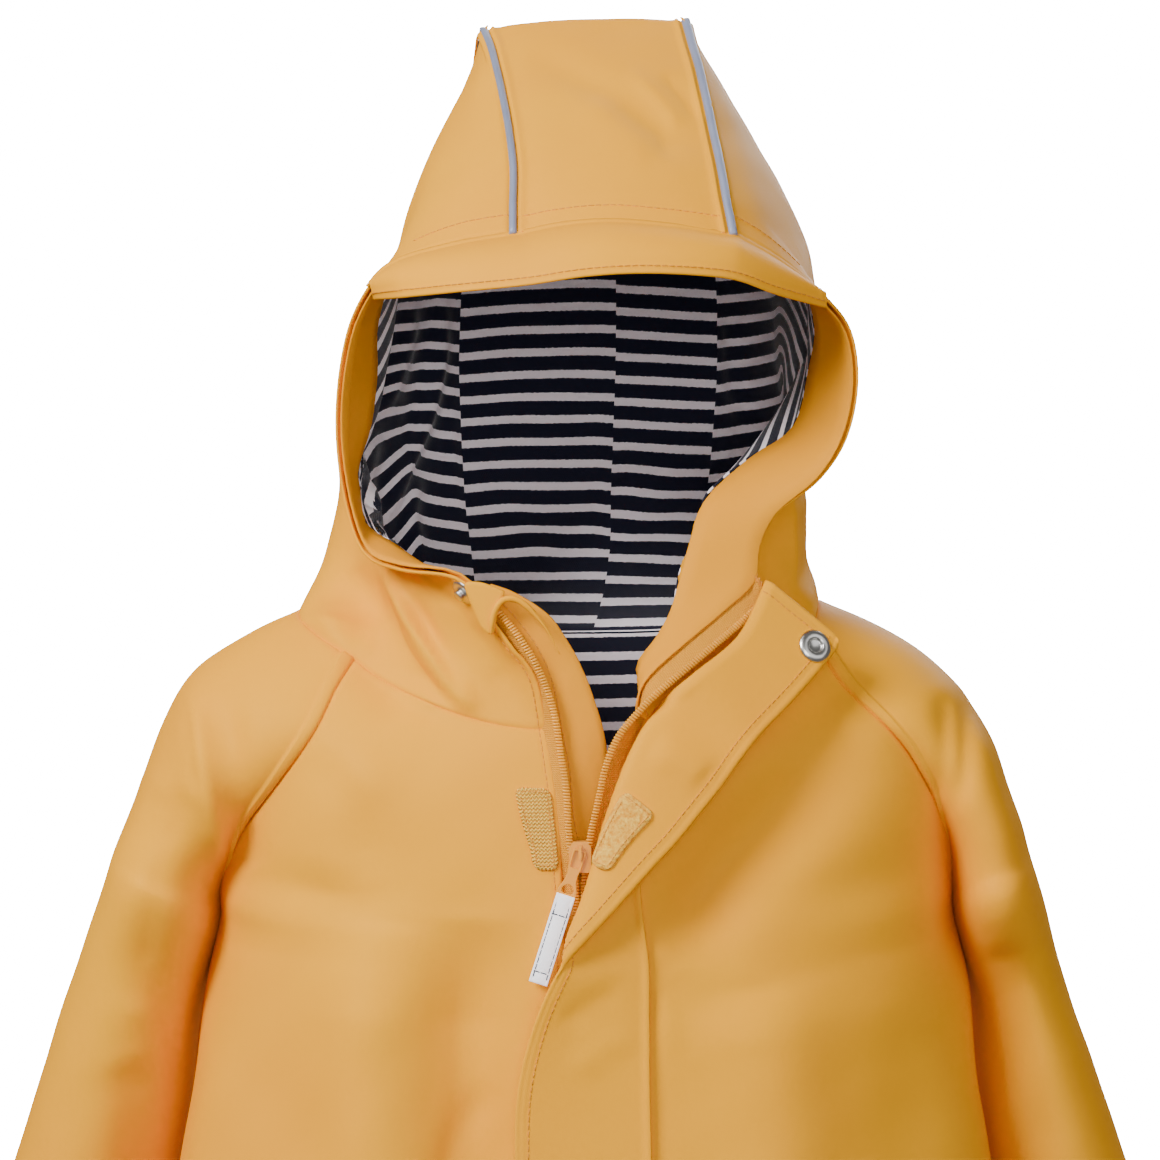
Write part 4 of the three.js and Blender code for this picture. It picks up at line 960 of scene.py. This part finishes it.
SHELL_EDGES = {
    "front_right": (EDGE, SEAM, HEM, SEAM),
    "front_left": (EDGE, SEAM, HEM, SEAM),
    "sleeve_right": (BAND, BAND, HEM, SEAM),
    "sleeve_left": (BAND, BAND, HEM, SEAM),
    "back_panel": (SEAM, SEAM, HEM, SEAM),
    "hood_side_right": (EDGE, SEAM, SEAM, SEAM),
    "hood_side_left": (EDGE, SEAM, SEAM, SEAM),
    "hood_centre": (PIPED, PIPED, SEAM, SEAM),
}
NARROW = 0.12
shells = {}
for name, edges in SHELL_EDGES.items():
    panel = panels[name]
    widths = None
    if name.startswith("sleeve"):
        above = np.clip((BODY - CUFF_ROWS) / (LAST_ROW - CUFF_ROWS), 0, 1)
        widths = NARROW + (1 - NARROW) * above**0.8
    shells[name] = dense(panel, *edges, widths=widths, creases=CREASES)
    cloth(name + "_cloth", shells[name], 0.0, -SHELL, shell_cloth)


# Facings and linings, cropped from the shell's own panels
def rises(panel, column):
    """Heights for stripes: the drop along one column, the same across each row."""
    steps = np.diff(panel.grid[:, column], axis=0)
    drops = np.maximum(np.abs(steps[:, 2]), 0.62 * np.linalg.norm(steps, axis=1))
    heights = np.concatenate([[0], np.cumsum(drops)])
    return np.broadcast_to(heights[:, None], panel.grid.shape[:2])


def slack(panel):
    """Change of the stripes' heights where the lining hangs in slack at the wearer's right."""
    x, z = np.moveaxis(camera_plane(panel.grid), -1, 0)
    border = np.interp(z, [3, 70, 130], [-65, -76, -62])
    slope = np.interp(z, [60, 90, 130], [1.2, 0.5, 0.25])
    rising = np.sign(panel.grid[-1, -1, 2] - panel.grid[0, -1, 2])
    return rising * slope * np.maximum(border - x, 0)


# The lining's edges, turned in at its seams, further so where they overlap at the neck
TURNED = [(-0.6, 0.2), (0, 0.1), (0.8, 0), (2.5, 0)]
NECK_TURNED = [(-2.4, 0.5), (0, 0.1), (0.8, 0), (2.5, 0)]


def lining_of(panel, last=TURNED):
    return dense(panel, TURNED, TURNED, TURNED, last, step=3.2, creases=PLEATS, inward=True)


def inside(name, part, material, slot, heights=None):
    """Cloth that lies inside the shell."""
    cloth(name + "_cloth", part, -LINING_DEPTH, -LINING_DEPTH - LINING, material, heights)


ALL = (0, None)
for side in ("right", "left"):
    facing = panels["hood_side_" + side].crop(ALL, (0, FINE))
    inside("hood_facing_" + side, facing, shaded_inner_cloth, "shell_cloth")
# The last number of each moves its stripes, so that they don't meet at the seams.
for side, shift in (("right", 4.0), ("left", 2.0)):
    part = lining_of(panels["hood_side_" + side].crop(ALL, (FINE, None)))
    heights = rises(part, -1) + shift + (slack(part) if side == "right" else 0)
    inside("hood_lining_" + side, part, jersey, "jersey", heights)
LINING_SEAM = 2 * FINE + 2  # column of the centre piece
for side, cols, column, shift in (
    ("right", (0, LINING_SEAM), -1, 4.4),
    ("left", (LINING_SEAM, None), 0, 2.4),
):
    part = lining_of(panels["hood_centre"].crop((FINE, None), cols), NECK_TURNED)
    inside("hood_lining_centre_" + side, part, jersey, "jersey", rises(part, column) + shift)
BACK_LINING = ((12 * FINE, None), (2 * FINE, 10 * FINE))
part = lining_of(panels["back_panel"].crop(*BACK_LINING), NECK_TURNED)
inside("back_lining", part, jersey, "jersey", rises(part, part.grid.shape[1] // 2))


class Sheet(Panel):
    """A grid that stands on its own, such as the flap."""

    def __init__(self, grid, flip=False):
        super().__init__(np.asarray(grid, float), flip)


# Visor, from the hood's own front edge
VISOR_GAP = 0.55
HALF_SHELL = 1.0  # of the solids


def edge_points(edge, inner, normals):
    return edge - normals * HALF_SHELL + unit(edge - inner) * VISOR_GAP


def side_edge(side):
    p = panels["hood_side_" + side]
    return edge_points(p.grid[:, 0], p.grid[:, FINE], p.normals[:, 0])


crown_panel = panels["hood_centre"]
top_edge = edge_points(crown_panel.grid[0], crown_panel.grid[FINE], crown_panel.normals[0])
right_edge, left_edge = side_edge("right"), side_edge("left")
HALF_STEP = FINE // 2
visor_seam = np.concatenate([
    right_edge[11 * FINE + HALF_STEP :],
    top_edge[1:-1],
    left_edge[12 * FINE :][::-1],
])
at = np.concatenate([
    np.linspace(0, 1, HALF_STEP + 1),
    1 + np.arange(1, len(visor_seam) - HALF_STEP) / FINE,
])
free = through(VISOR_FREE, at / 9)
VISOR_BULGE = np.array([0, -5, 3])
visor_rows = [
    visor_seam * (1 - v) + free * v + VISOR_BULGE * 4 * v * (1 - v)
    for v in np.linspace(0, 1, 3 * FINE + 1)
]
visor = Sheet(visor_rows)

# Storm flap
def flap_row(root, row):
    shares = np.linspace(0, 1, FOLD_COL * FINE + 1)
    shown = np.linspace(0, 1, (FLAP_COLS - FOLD_COL) * FINE + 1)[1:]
    end = np.array(row[:3], float)
    if len(row) == 4:
        fold = row[3]
        t = np.concatenate([shares * fold, fold + shown * (1 - fold)])[:, None]
        return root + (end - root) * t
    crest = np.array(row[3:], float)

    def handle(p):
        return np.array([(crest[0] + p[0]) / 2, p[1] - 1, (crest[2] + p[2]) / 2])

    low = bezier([root, handle(root), crest + [0, ROLL, 0], crest], shares[:, None])
    high = bezier([crest, crest - [0, ROLL, 0], handle(end), end], shown[:, None])
    return np.concatenate([low, high])


root = panels["front_left"].grid[:, FINE] + [0, -2, 0]
coarse = [flap_row(root[j * FINE], row) for j, row in enumerate(FLAP_ROWS)]
coarse += [flap_row(np.array(row[:3], float), row[3:]) for row in FLAP_TOP_ROWS]
flap = Sheet(sample(coarse, (len(coarse) - 1) * FINE))
flap.grid += flap.normals * (fold_height(camera_plane(flap.grid), FLAP_FOLDS) * -1)[..., None]
flap = Sheet(flap.grid)

# Guard behind the zip
ZIP_STEPS = 160
teeth = {s: sample(ZIP[s], ZIP_STEPS) for s in ZIP}
guard_sewn = teeth["right"] + [-1.6, 5.2, 2]
guard_free = sample(GUARD, ZIP_STEPS)
guard_t = np.linspace(0, 1, 9)[None, :, None]
guard = Sheet(guard_sewn[:, None] * (1 - guard_t) + guard_free[:, None] * guard_t)

# Garage: a folded tab over the top of the zip, three points across it in each row
GARAGE = [
    ((-49, -85.4, 10), (-41, -86.6, 9.5), (-32, -87.2, 6)),
    ((-45.5, -85.8, 0.5), (-40.3, -87, 0), (-34.8, -87.4, -2.4)),
    ((-41.5, -86, -9), (-39, -86.8, -11), (-36.8, -87, -12.5)),
]
garage = Sheet(sample(np.moveaxis(sample(GARAGE, 12), 0, 1), 12).swapaxes(0, 1))

# Zip tapes, between each row of teeth and the panel's edge
def points_at(line, run, want):
    line = np.asarray(line)
    return np.stack([np.interp(want, run, line[:, k]) for k in range(3)], -1)


def evenly(line, count):
    run = run_of(line)
    return points_at(line, run, np.linspace(0, run[-1], count))


TAPE_ROWS = ZIP_STEPS + 1
TAPE_END = np.array([0.6, 0.4, 2.3])  # each step of the left tape past its teeth
tapes = {}
for side, top_rows in (("right", 4 * FINE), ("left", 5 * FINE)):
    body, head = panels["front_" + side], panels["hood_side_" + side]
    edge = np.concatenate([body.grid[:, 0], head.grid[1 : top_rows + 1, 0]])
    into = np.concatenate([body.grid[:, 2], head.grid[1 : top_rows + 1, 2]])
    out = np.concatenate([body.normals[:, 0], head.normals[1 : top_rows + 1, 0]])
    under = edge + unit(into - edge) * 3 - out * 2.1
    a, b = evenly(teeth[side], TAPE_ROWS), evenly(under, TAPE_ROWS)
    if side == "left":
        past = np.arange(1, 5)[:, None] * TAPE_END
        a, b = np.concatenate([a, a[-1] + past]), np.concatenate([b, b[-1] + past * 0.6])
    t = np.linspace(0, 1, 7)[None, :, None]
    tapes[side] = Sheet(a[:, None] * (1 - t) + b[:, None] * t, side == "left")

visor_fine = dense(visor, EDGE, EDGE, SEAM, EDGE, step=2.5)
flap_fine = dense(flap, SEAM, EDGE, HEM, EDGE, step=2.5, creases=FLAP_CREASES)
round_corners(flap_fine, 6.0, [(-1, -1)])
garage = dense(garage, PLAIN, PLAIN, PLAIN, PLAIN, step=1.2)
round_corners(garage, 2.5, [(0, -1), (-1, -1), (0, 0)])
SHEETS = {
    "hood_visor": (visor_fine, 0.75, shell_cloth, "gathered"),
    "storm_flap": (flap_fine, 0.75, shell_cloth, "hung"),
    "zip_guard": (guard, 0.6, shaded_inner_cloth, "hung"),
    "zip_garage": (garage, 0.55, shell_cloth, "folded"),
}
for name, (piece, half, material, held) in SHEETS.items():
    cloth(name + "_cloth", piece, half, -half, material)
for side, tape in tapes.items():
    cloth("zip_tape_" + side, tape, 0.3, -0.3, yellow_tape, replaces="zip_teeth_" + side)

# Coil teeth
COIL_PITCH = 1.3
COIL_FRONT = np.array([0, -0.9, 0])


def capsules(name, ends, radius, material, body="coat", up=(0, -1.0, 0)):
    """Small rounded bars, one for each pair of end points."""
    sides = 6
    points, faces = [], []
    for a, b in ends:
        way = unit(b - a)
        aside = unit(np.cross(way, up))
        out = np.cross(aside, way)
        tip = way * radius * 0.7
        rings = [(a - tip, 0.35), (a, 1.0), (b, 1.0), (b + tip, 0.35)]
        faces += tube_faces(len(rings), sides, len(points))
        for at_point, size in rings:
            for s in range(sides):
                turn = 2 * math.pi * s / sides
                reach = aside * math.cos(turn) + out * math.sin(turn)
                points.append(at_point + reach * radius * size)
    new_object(name, points, faces, material, body)


for side, sign in (("right", -1), ("left", 1)):
    spots = evenly(teeth[side], int(run_of(teeth[side])[-1] / COIL_PITCH) + 1)
    ends = []
    for p, way in zip(spots, unit(np.gradient(spots, axis=0))):
        aside = unit(np.cross(way, [0, 1.0, 0])) * sign
        aside = aside if aside @ [sign, 0, 0.2] > 0 else -aside
        ends.append((p - aside * 1.2 + COIL_FRONT, p + aside * 1.1 + COIL_FRONT + way * 0.3))
    capsules("coil_" + side, ends, 0.62, coil_plastic)

# Frayed end of the left tape
random = np.random.default_rng(7)
end_row = tapes["left"].grid[-1]
FRAYS = 26
frays = []
for k in range(FRAYS):
    start = end_row[0] + (end_row[-1] - end_row[0]) * (k + 0.5) / FRAYS * 0.55 - [0, 0.4, 0.5]
    way = unit(TAPE_END) + random.normal(0, 0.35, 3)
    frays.append((start, start + unit(way) * random.uniform(1.2, 2.8)))
capsules("tape_fray", frays, 0.17, thread)


# Patches of hook and loop
def patch_on(source, rows, low, high, steps=14):
    """A patch on a panel, between two rows and from the low to the high columns' ends."""
    grid, normals = [], []
    for v in np.linspace(0, 1, steps):
        i0, i1 = (low[k] + (high[k] - low[k]) * v for k in (0, 1))
        j = (rows[0] + (rows[1] - rows[0]) * v) * FINE
        found = [source.at(j, (i0 + (i1 - i0) * u) * FINE) for u in np.linspace(0, 1, steps)]
        grid.append([p for p, _ in found])
        normals.append([n for _, n in found])
    spot = Panel(np.array(grid), source.flip)
    spot.normals = np.array(normals)
    return spot


hook_spot = patch_on(panels["front_right"], (13.1, 15.05), (0.08, 0.85), (0.25, 1.5))
loop_spot = patch_on(flap, (13.3, 15.2), (3.4, 5.2), (4.2, 5.85))
for spot in (hook_spot, loop_spot):
    round_corners(spot, 3.0, [(0, 0), (0, -1), (-1, 0), (-1, -1)])
cloth("hook_patch_cloth", hook_spot, 1.5, 0.2, hook_tape)
cloth("loop_patch_cloth", loop_spot, 2.1, 0.8, loop_tape)

# Piping: a filled cord between the hood's panels, lying on the centre one
def cord_mesh(name, line, out, aside, radius, material, replaces=None):
    sides = 10
    points = []
    for p, o, w in zip(line, out, aside):
        for s in range(sides):
            turn = 2 * math.pi * s / sides
            points.append(p + w * math.cos(turn) * radius + o * math.sin(turn) * radius * 0.85)
    obj = new_object(name, points, tube_faces(len(line), sides), material)
    if replaces:
        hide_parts(replaces)


PIPED_ROWS = slice(1 - 2 * FINE)
for side, edge, way in (("right", 0, 1), ("left", -1, -1)):
    a = crown_panel.grid[PIPED_ROWS, edge]
    b = crown_panel.grid[PIPED_ROWS, edge + way * FINE]
    aside, out = unit(b - a), crown_panel.normals[PIPED_ROWS, edge]
    line = a + aside * 2.1 + out * 0.5
    name = "piping_" + side
    cord_mesh(name + "_cord", line, out, aside, 1.75, piping_tape, name)

AXIS_RADIUS = 0.01  # in place of none, at the ends of a turned profile


# Turned metal snaps: profiles are radius and height
def turned(name, profile, point, normal):
    sides = 40
    x = unit(np.cross(normal, [0, 0, 1.0]))
    y = np.cross(normal, x)
    points = []
    for r, h in profile:
        for s in range(sides):
            turn = 2 * math.pi * s / sides
            reach = x * math.cos(turn) + y * math.sin(turn)
            points.append(point + reach * max(r, AXIS_RADIUS) + normal * h)
    obj = new_object(name + "_metal", points, tube_faces(len(profile), sides), snap_metal)
    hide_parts(name)


SOCKET = [
    (0, 0), (7, 0), (7.2, 0.3), (7.2, 0.7), (6.9, 1.1), (6.3, 1.5), (5.6, 1.9), (4.9, 2.0),
    (4.0, 1.95), (3.4, 1.7), (3.1, 1.3), (3.0, 0.8), (2.6, 0.5), (0, 0.5),
]
CAP = [(0, 0), (7.1, 0), (7.2, 0.3), (6.9, 0.8), (5.5, 1.1), (3, 1.3), (0, 1.35)]
STUD = [
    (0, 0), (5.9, 0), (6, 0.3), (5.7, 0.7), (4.2, 0.9), (2.5, 1.2), (2.1, 1.7), (2.15, 2.3),
    (2.5, 2.9), (2.45, 3.3), (2, 3.6), (0, 3.65),
]
at_flap, flap_out = flap.at(20.6 * FINE, 5.6 * FINE)
at_hood, hood_out = panels["hood_side_right"].at(4.6 * FINE, 0.3 * FINE)
turned("snap_socket", SOCKET, at_flap + flap_out * 0.8, flap_out)
turned("snap_cap", CAP, at_flap - flap_out * 0.8, -flap_out)
turned("snap_stud", STUD, at_hood + hood_out * 0.1, hood_out)

# Slider: the solid itself, with rounded edges
slider = bpy.data.objects["zip_slider"]
slider.data.materials.clear()
slider.data.materials.append(painted_metal)
rounded = slider.modifiers.new("rounded", "BEVEL")
rounded.width, rounded.segments, rounded.limit_method = 0.00045, 3, "ANGLE"

# The pull, made flat about its bar and then hung from it
PULL = (0, -96.85, -102.2)
LEAN, FORWARD = math.radians(17.6), math.radians(90 - 1.6)
turn = Matrix.Rotation(LEAN, 4, "Y") @ Matrix.Rotation(FORWARD, 4, "X")
hang = Matrix.Translation(Vector(PULL) / 1000) @ turn
# Outlines of the plate and its two holes: height and half width there
PULLER = [
    (0.5, 1.9), (0.3, 2.5), (-0.8, 2.9), (-7.5, 2.85), (-10.5, 2.35), (-13, 2.5), (-15, 3.2),
    (-17, 3.95), (-20, 4.35), (-21.8, 4.2), (-22.5, 3.4),
]
SLOT = [(-0.5, 1.7), (-0.8, 2.0), (-7.2, 2.0), (-7.6, 1.7)]
HOLE = [(-14.9, 0.6), (-15.6, 1.7), (-16.8, 2.5), (-18.0, 2.5), (-18.7, 1.6)]


def both_sides(rows):
    return [(x, y) for y, x in rows] + [(-x, y) for y, x in reversed(rows)]


def puller_plate(name, outlines, thick, bevel):
    """Flat plate with rounded edges, from an outline and its holes."""
    curve = bpy.data.curves.new(name, "CURVE")
    curve.dimensions, curve.fill_mode = "2D", "BOTH"
    curve.extrude, curve.bevel_depth = (thick / 2 - bevel) / 1000, bevel / 1000
    curve.bevel_resolution, curve.offset = 3, -bevel / 1000
    for outline in outlines:
        spline = curve.splines.new("POLY")
        spline.points.add(len(outline) - 1)
        for point, (x, y) in zip(spline.points, outline):
            point.co = (x / 1000, y / 1000, 0, 1)
        spline.use_cyclic_u = True
    holder = bpy.data.objects.new(name + "_curve", curve)
    mesh = bpy.data.meshes.new_from_object(holder)
    bpy.data.objects.remove(holder)
    mesh.transform(hang)
    mesh.materials.clear()
    mesh.materials.append(painted_metal)
    obj = bpy.data.objects.new(name, mesh)
    bpy.context.scene.collection.objects.link(obj)
    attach(obj, "pull")
    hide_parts("pull_puller")


puller_plate("puller", [both_sides(rows) for rows in (PULLER, SLOT, HOLE)], 0.9, 0.25)

# Tab: a strip folded through the puller's hole and sewn flat; height and half thickness there,
# then places across it and the share of that thickness they have
TAB = [
    (-19.4, 0.35), (-19.6, 0.9), (-20.4, 1.25), (-22.5, 1.3), (-24.5, 1.05), (-27.6, 0.8),
    (-28.4, 0.6), (-29.2, 0.85), (-40, 0.95), (-52.6, 0.85), (-53.4, 0.6), (-54.2, 0.8),
    (-57.6, 0.8), (-58.2, 0.5),
]
TAB_ACROSS = [
    (-4, 0.55), (-3.9, 0.9), (-3.3, 1), (-2.9, 0.8), (-2.5, 1), (0, 1.05), (2.5, 1), (2.9, 0.8),
    (3.3, 1), (3.9, 0.9), (4, 0.55),
]


def tab_mesh():
    points, faces = [], []
    count = len(TAB_ACROSS)
    for face in (1, -1):
        for y, half in TAB:
            points += [(x, y, face * half * share) for x, share in TAB_ACROSS]
    n = len(TAB) * count
    for j in range(len(TAB) - 1):
        for i in range(count - 1):
            a = j * count + i
            quad = [a, a + count, a + count + 1, a + 1]
            faces += [quad, [n + k for k in quad[::-1]]]
    rim = list(range(count)) + [j * count + count - 1 for j in range(1, len(TAB))]
    rim += [len(TAB) * count - 1 - i for i in range(1, count)]
    rim += [j * count for j in range(len(TAB) - 2, 0, -1)]
    for k, a in enumerate(rim):
        b = rim[(k + 1) % len(rim)]
        faces.append([a, b, n + b, n + a])
    return points, faces


def on_pull(points):
    return [tuple(hang @ Vector(p / 1000 for p in q) * 1000) for q in points]


points, faces = tab_mesh()
tab_uvs = np.array([(x / 1000, y / 1000) for x, y, _ in points])
tab = new_object("tab", on_pull(points), faces, white_tape, "pull", tab_uvs)
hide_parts("pull_tab")


def stitch_ends(points, pitch=3.1, length=2.1):
    """End points of the stitches along a line."""
    points = np.asarray(points, float)
    run = run_of(points)
    starts = np.arange(0.4, run[-1] - length, pitch)
    return list(zip(points_at(points, run, starts), points_at(points, run, starts + length)))


tab_stitches = []
tab_lines = [[(x, -23, 0), (x, -57, 0)] for x in (-2.9, 2.9)]
tab_lines += [[(-3.6, y, 0), (3.6, y, 0)] for y in (-28.4, -53.4)]
for line in tab_lines:
    for face in (1, -1):
        lifted = on_pull([(x, y, face * 0.74) for x, y, _ in line])
        tab_stitches += stitch_ends(lifted, 3.0, 2.3)
pull_out = tuple(hang.to_3x3() @ Vector((0, 0, 1)))
capsules("tab_stitches", tab_stitches, 0.24, dark_thread, "pull", pull_out)


def side_line(panel, side, mm, rows, lift):
    """Line at a distance from one of a panel's sides, just above the cloth."""
    grid = panel.grid + panel.normals * lift
    if side in ("first", "last"):
        grid = grid.swapaxes(0, 1)
    if side in ("end", "last"):
        grid = grid[:, ::-1]
    line = []
    for row in grid[slice(*rows)]:
        line.append(points_at(row, run_of(row), mm))
    return line


def part_rows(panel, low, high, side):
    """Row numbers from one share of a panel to another."""
    count = panel.grid.shape[0 if side in ("start", "end") else 1]
    return int(low * (count - 1)), int(high * (count - 1)) + 1


# Topstitching: panel, side, distance, first and last share of the rows, height above the cloth
ON_SHELL, ON_SHEET, ON_GUARD = 0.12, 0.87, 0.7
HEM_STITCH = 19.4
hood_r, hood_l, crown = (shells["hood_" + n] for n in ("side_right", "side_left", "centre"))
TOPSTITCHES = [
    (shells["front_right"], "start", 3.0, 0, 1, ON_SHELL),
    *[
        (shells[n], "first", HEM_STITCH, 0, 1, ON_SHELL)
        for n in ("front_right", "front_left", "back_panel", "sleeve_right", "sleeve_left")
    ],
    (hood_r, "start", 3.0, 0, 0.8, ON_SHELL),
    (hood_l, "start", 3.0, 0, 0.82, ON_SHELL),
    (hood_r, "start", 14.0, 0.84, 1, ON_SHELL),
    (hood_l, "start", 14.0, 0.84, 1, ON_SHELL),
    (crown, "first", 13.0, 0, 1, ON_SHELL),
    (crown, "first", 2.2, 0, 1, ON_SHELL),
    (visor_fine, "last", 3.0, 0, 1, ON_SHEET),
    (visor_fine, "last", 3.0, 0, 1, -ON_SHEET),
    (flap_fine, "end", 5.4, 0, 1, ON_SHEET),
    (flap_fine, "end", 5.4, 0, 1, -ON_SHEET),
    (flap_fine, "last", 5.4, 0, 1, ON_SHEET),
    (flap_fine, "last", 5.4, 0, 1, -ON_SHEET),
    (flap_fine, "start", 7.0, 0, 0.62, ON_SHEET),
    (guard, "start", 6.0, 0, 1, ON_GUARD),
]
ends = []
for piece, side, mm, low, high, lift in TOPSTITCHES:
    ends += stitch_ends(side_line(piece, side, mm, part_rows(piece, low, high, side), lift))
capsules("topstitching", ends, 0.26, thread)

# Stitches round the hook and loop patches
patch_ends = []
for spot, lift in ((hook_spot, 1.55), (loop_spot, 2.15)):
    for side in ("start", "end", "first", "last"):
        line = side_line(spot, side, 1.4, (1, -1), lift)
        patch_ends += stitch_ends(line, 2.2, 1.5)
capsules("patch_stitches", patch_ends, 0.24, thread)

# Rolled edge that arches over the top of the zip
ARCH = [
    (-37.5, -88.0, -12.0), (-36.6, -88.2, -4.0), (-33.6, -88.4, 1.5), (-29.8, -88.3, 3.2),
    (-25.2, -88.0, 2.0), (-19.8, -87.4, -2.6), (-13.6, -86.2, -10.4), (-8.6, -85.4, -20.0),
]
ARCH_STEPS = 40
arch = sample(ARCH, ARCH_STEPS)
arch_way = unit(np.gradient(arch, axis=0))
arch_out = np.broadcast_to([0, -1.0, 0], arch.shape)
arch_aside = unit(np.cross(arch_way, arch_out))
at = np.arange(ARCH_STEPS + 1)
taper = np.clip(np.minimum(at / 4, (ARCH_STEPS - at) / 14), 0.15, 1)[:, None]
cord_mesh("garage_roll", arch, arch_out * taper, arch_aside * taper, 1.3, shell_cloth)


# Light and stage
def area_light(name, place, target, size, power):
    data = bpy.data.lights.new(name, "AREA")
    data.size, data.energy = size, power
    lamp = bpy.data.objects.new(name, data)
    bpy.context.scene.collection.objects.link(lamp)
    lamp.location = place
    way = Vector(target) - Vector(place)
    lamp.rotation_euler = way.to_track_quat("-Z", "Y").to_euler()


area_light("key", (-1.5, -1.5, 1.25), (0, 0, -0.1), 0.9, 82)
area_light("fill", (1.5, -1.7, 0.4), (0, 0, -0.1), 1.8, 15)
area_light("front", (0.05, -1.9, 0.05), (0, 0, 0.1), 0.8, 13)
area_light("top", (-0.9, -0.3, 1.8), (0, 0, 0.1), 1.0, 14)
area_light("back", (0.7, 2.3, 1.3), (0, 0, -0.1), 1.6, 45)
# Brightness of the background and the floor where the camera sees them
WHITE_STRENGTH = 30.0
world = bpy.data.worlds.new("studio")
world.use_nodes = True
tree = world.node_tree
soft = tree.nodes["Background"]
soft.inputs["Color"].default_value = (1, 1, 1, 1)
soft.inputs["Strength"].default_value = 0.17
white = tree.nodes.new("ShaderNodeBackground")
white.inputs["Strength"].default_value = WHITE_STRENGTH
which = tree.nodes.new("ShaderNodeMixShader")
tree.links.new(tree.nodes.new("ShaderNodeLightPath").outputs["Is Camera Ray"], which.inputs["Fac"])
tree.links.new(soft.outputs["Background"], which.inputs[1])
tree.links.new(white.outputs["Background"], which.inputs[2])
tree.links.new(which.outputs["Shader"], tree.nodes["World Output"].inputs["Surface"])
bpy.context.scene.world = world

FLOOR_SIZE, FLOOR_Z = 14.0, -0.62  # m
bpy.ops.mesh.primitive_plane_add(size=FLOOR_SIZE, location=(0, 0, FLOOR_Z))
floor = bpy.context.object
floor.name = "floor"
paint = Nodes("floor_paint", Base_Color=(0.9, 0.9, 0.9, 1), Roughness=0.9, Specular_IOR_Level=0.1)
paint.shader.inputs["Emission Color"].default_value = (1, 1, 1, 1)
paint.shader.inputs["Emission Strength"].default_value = WHITE_STRENGTH
floor.data.materials.append(paint.material)
# The floor neither lights the coat nor shows in it.
floor.visible_diffuse = False
floor.visible_glossy = False
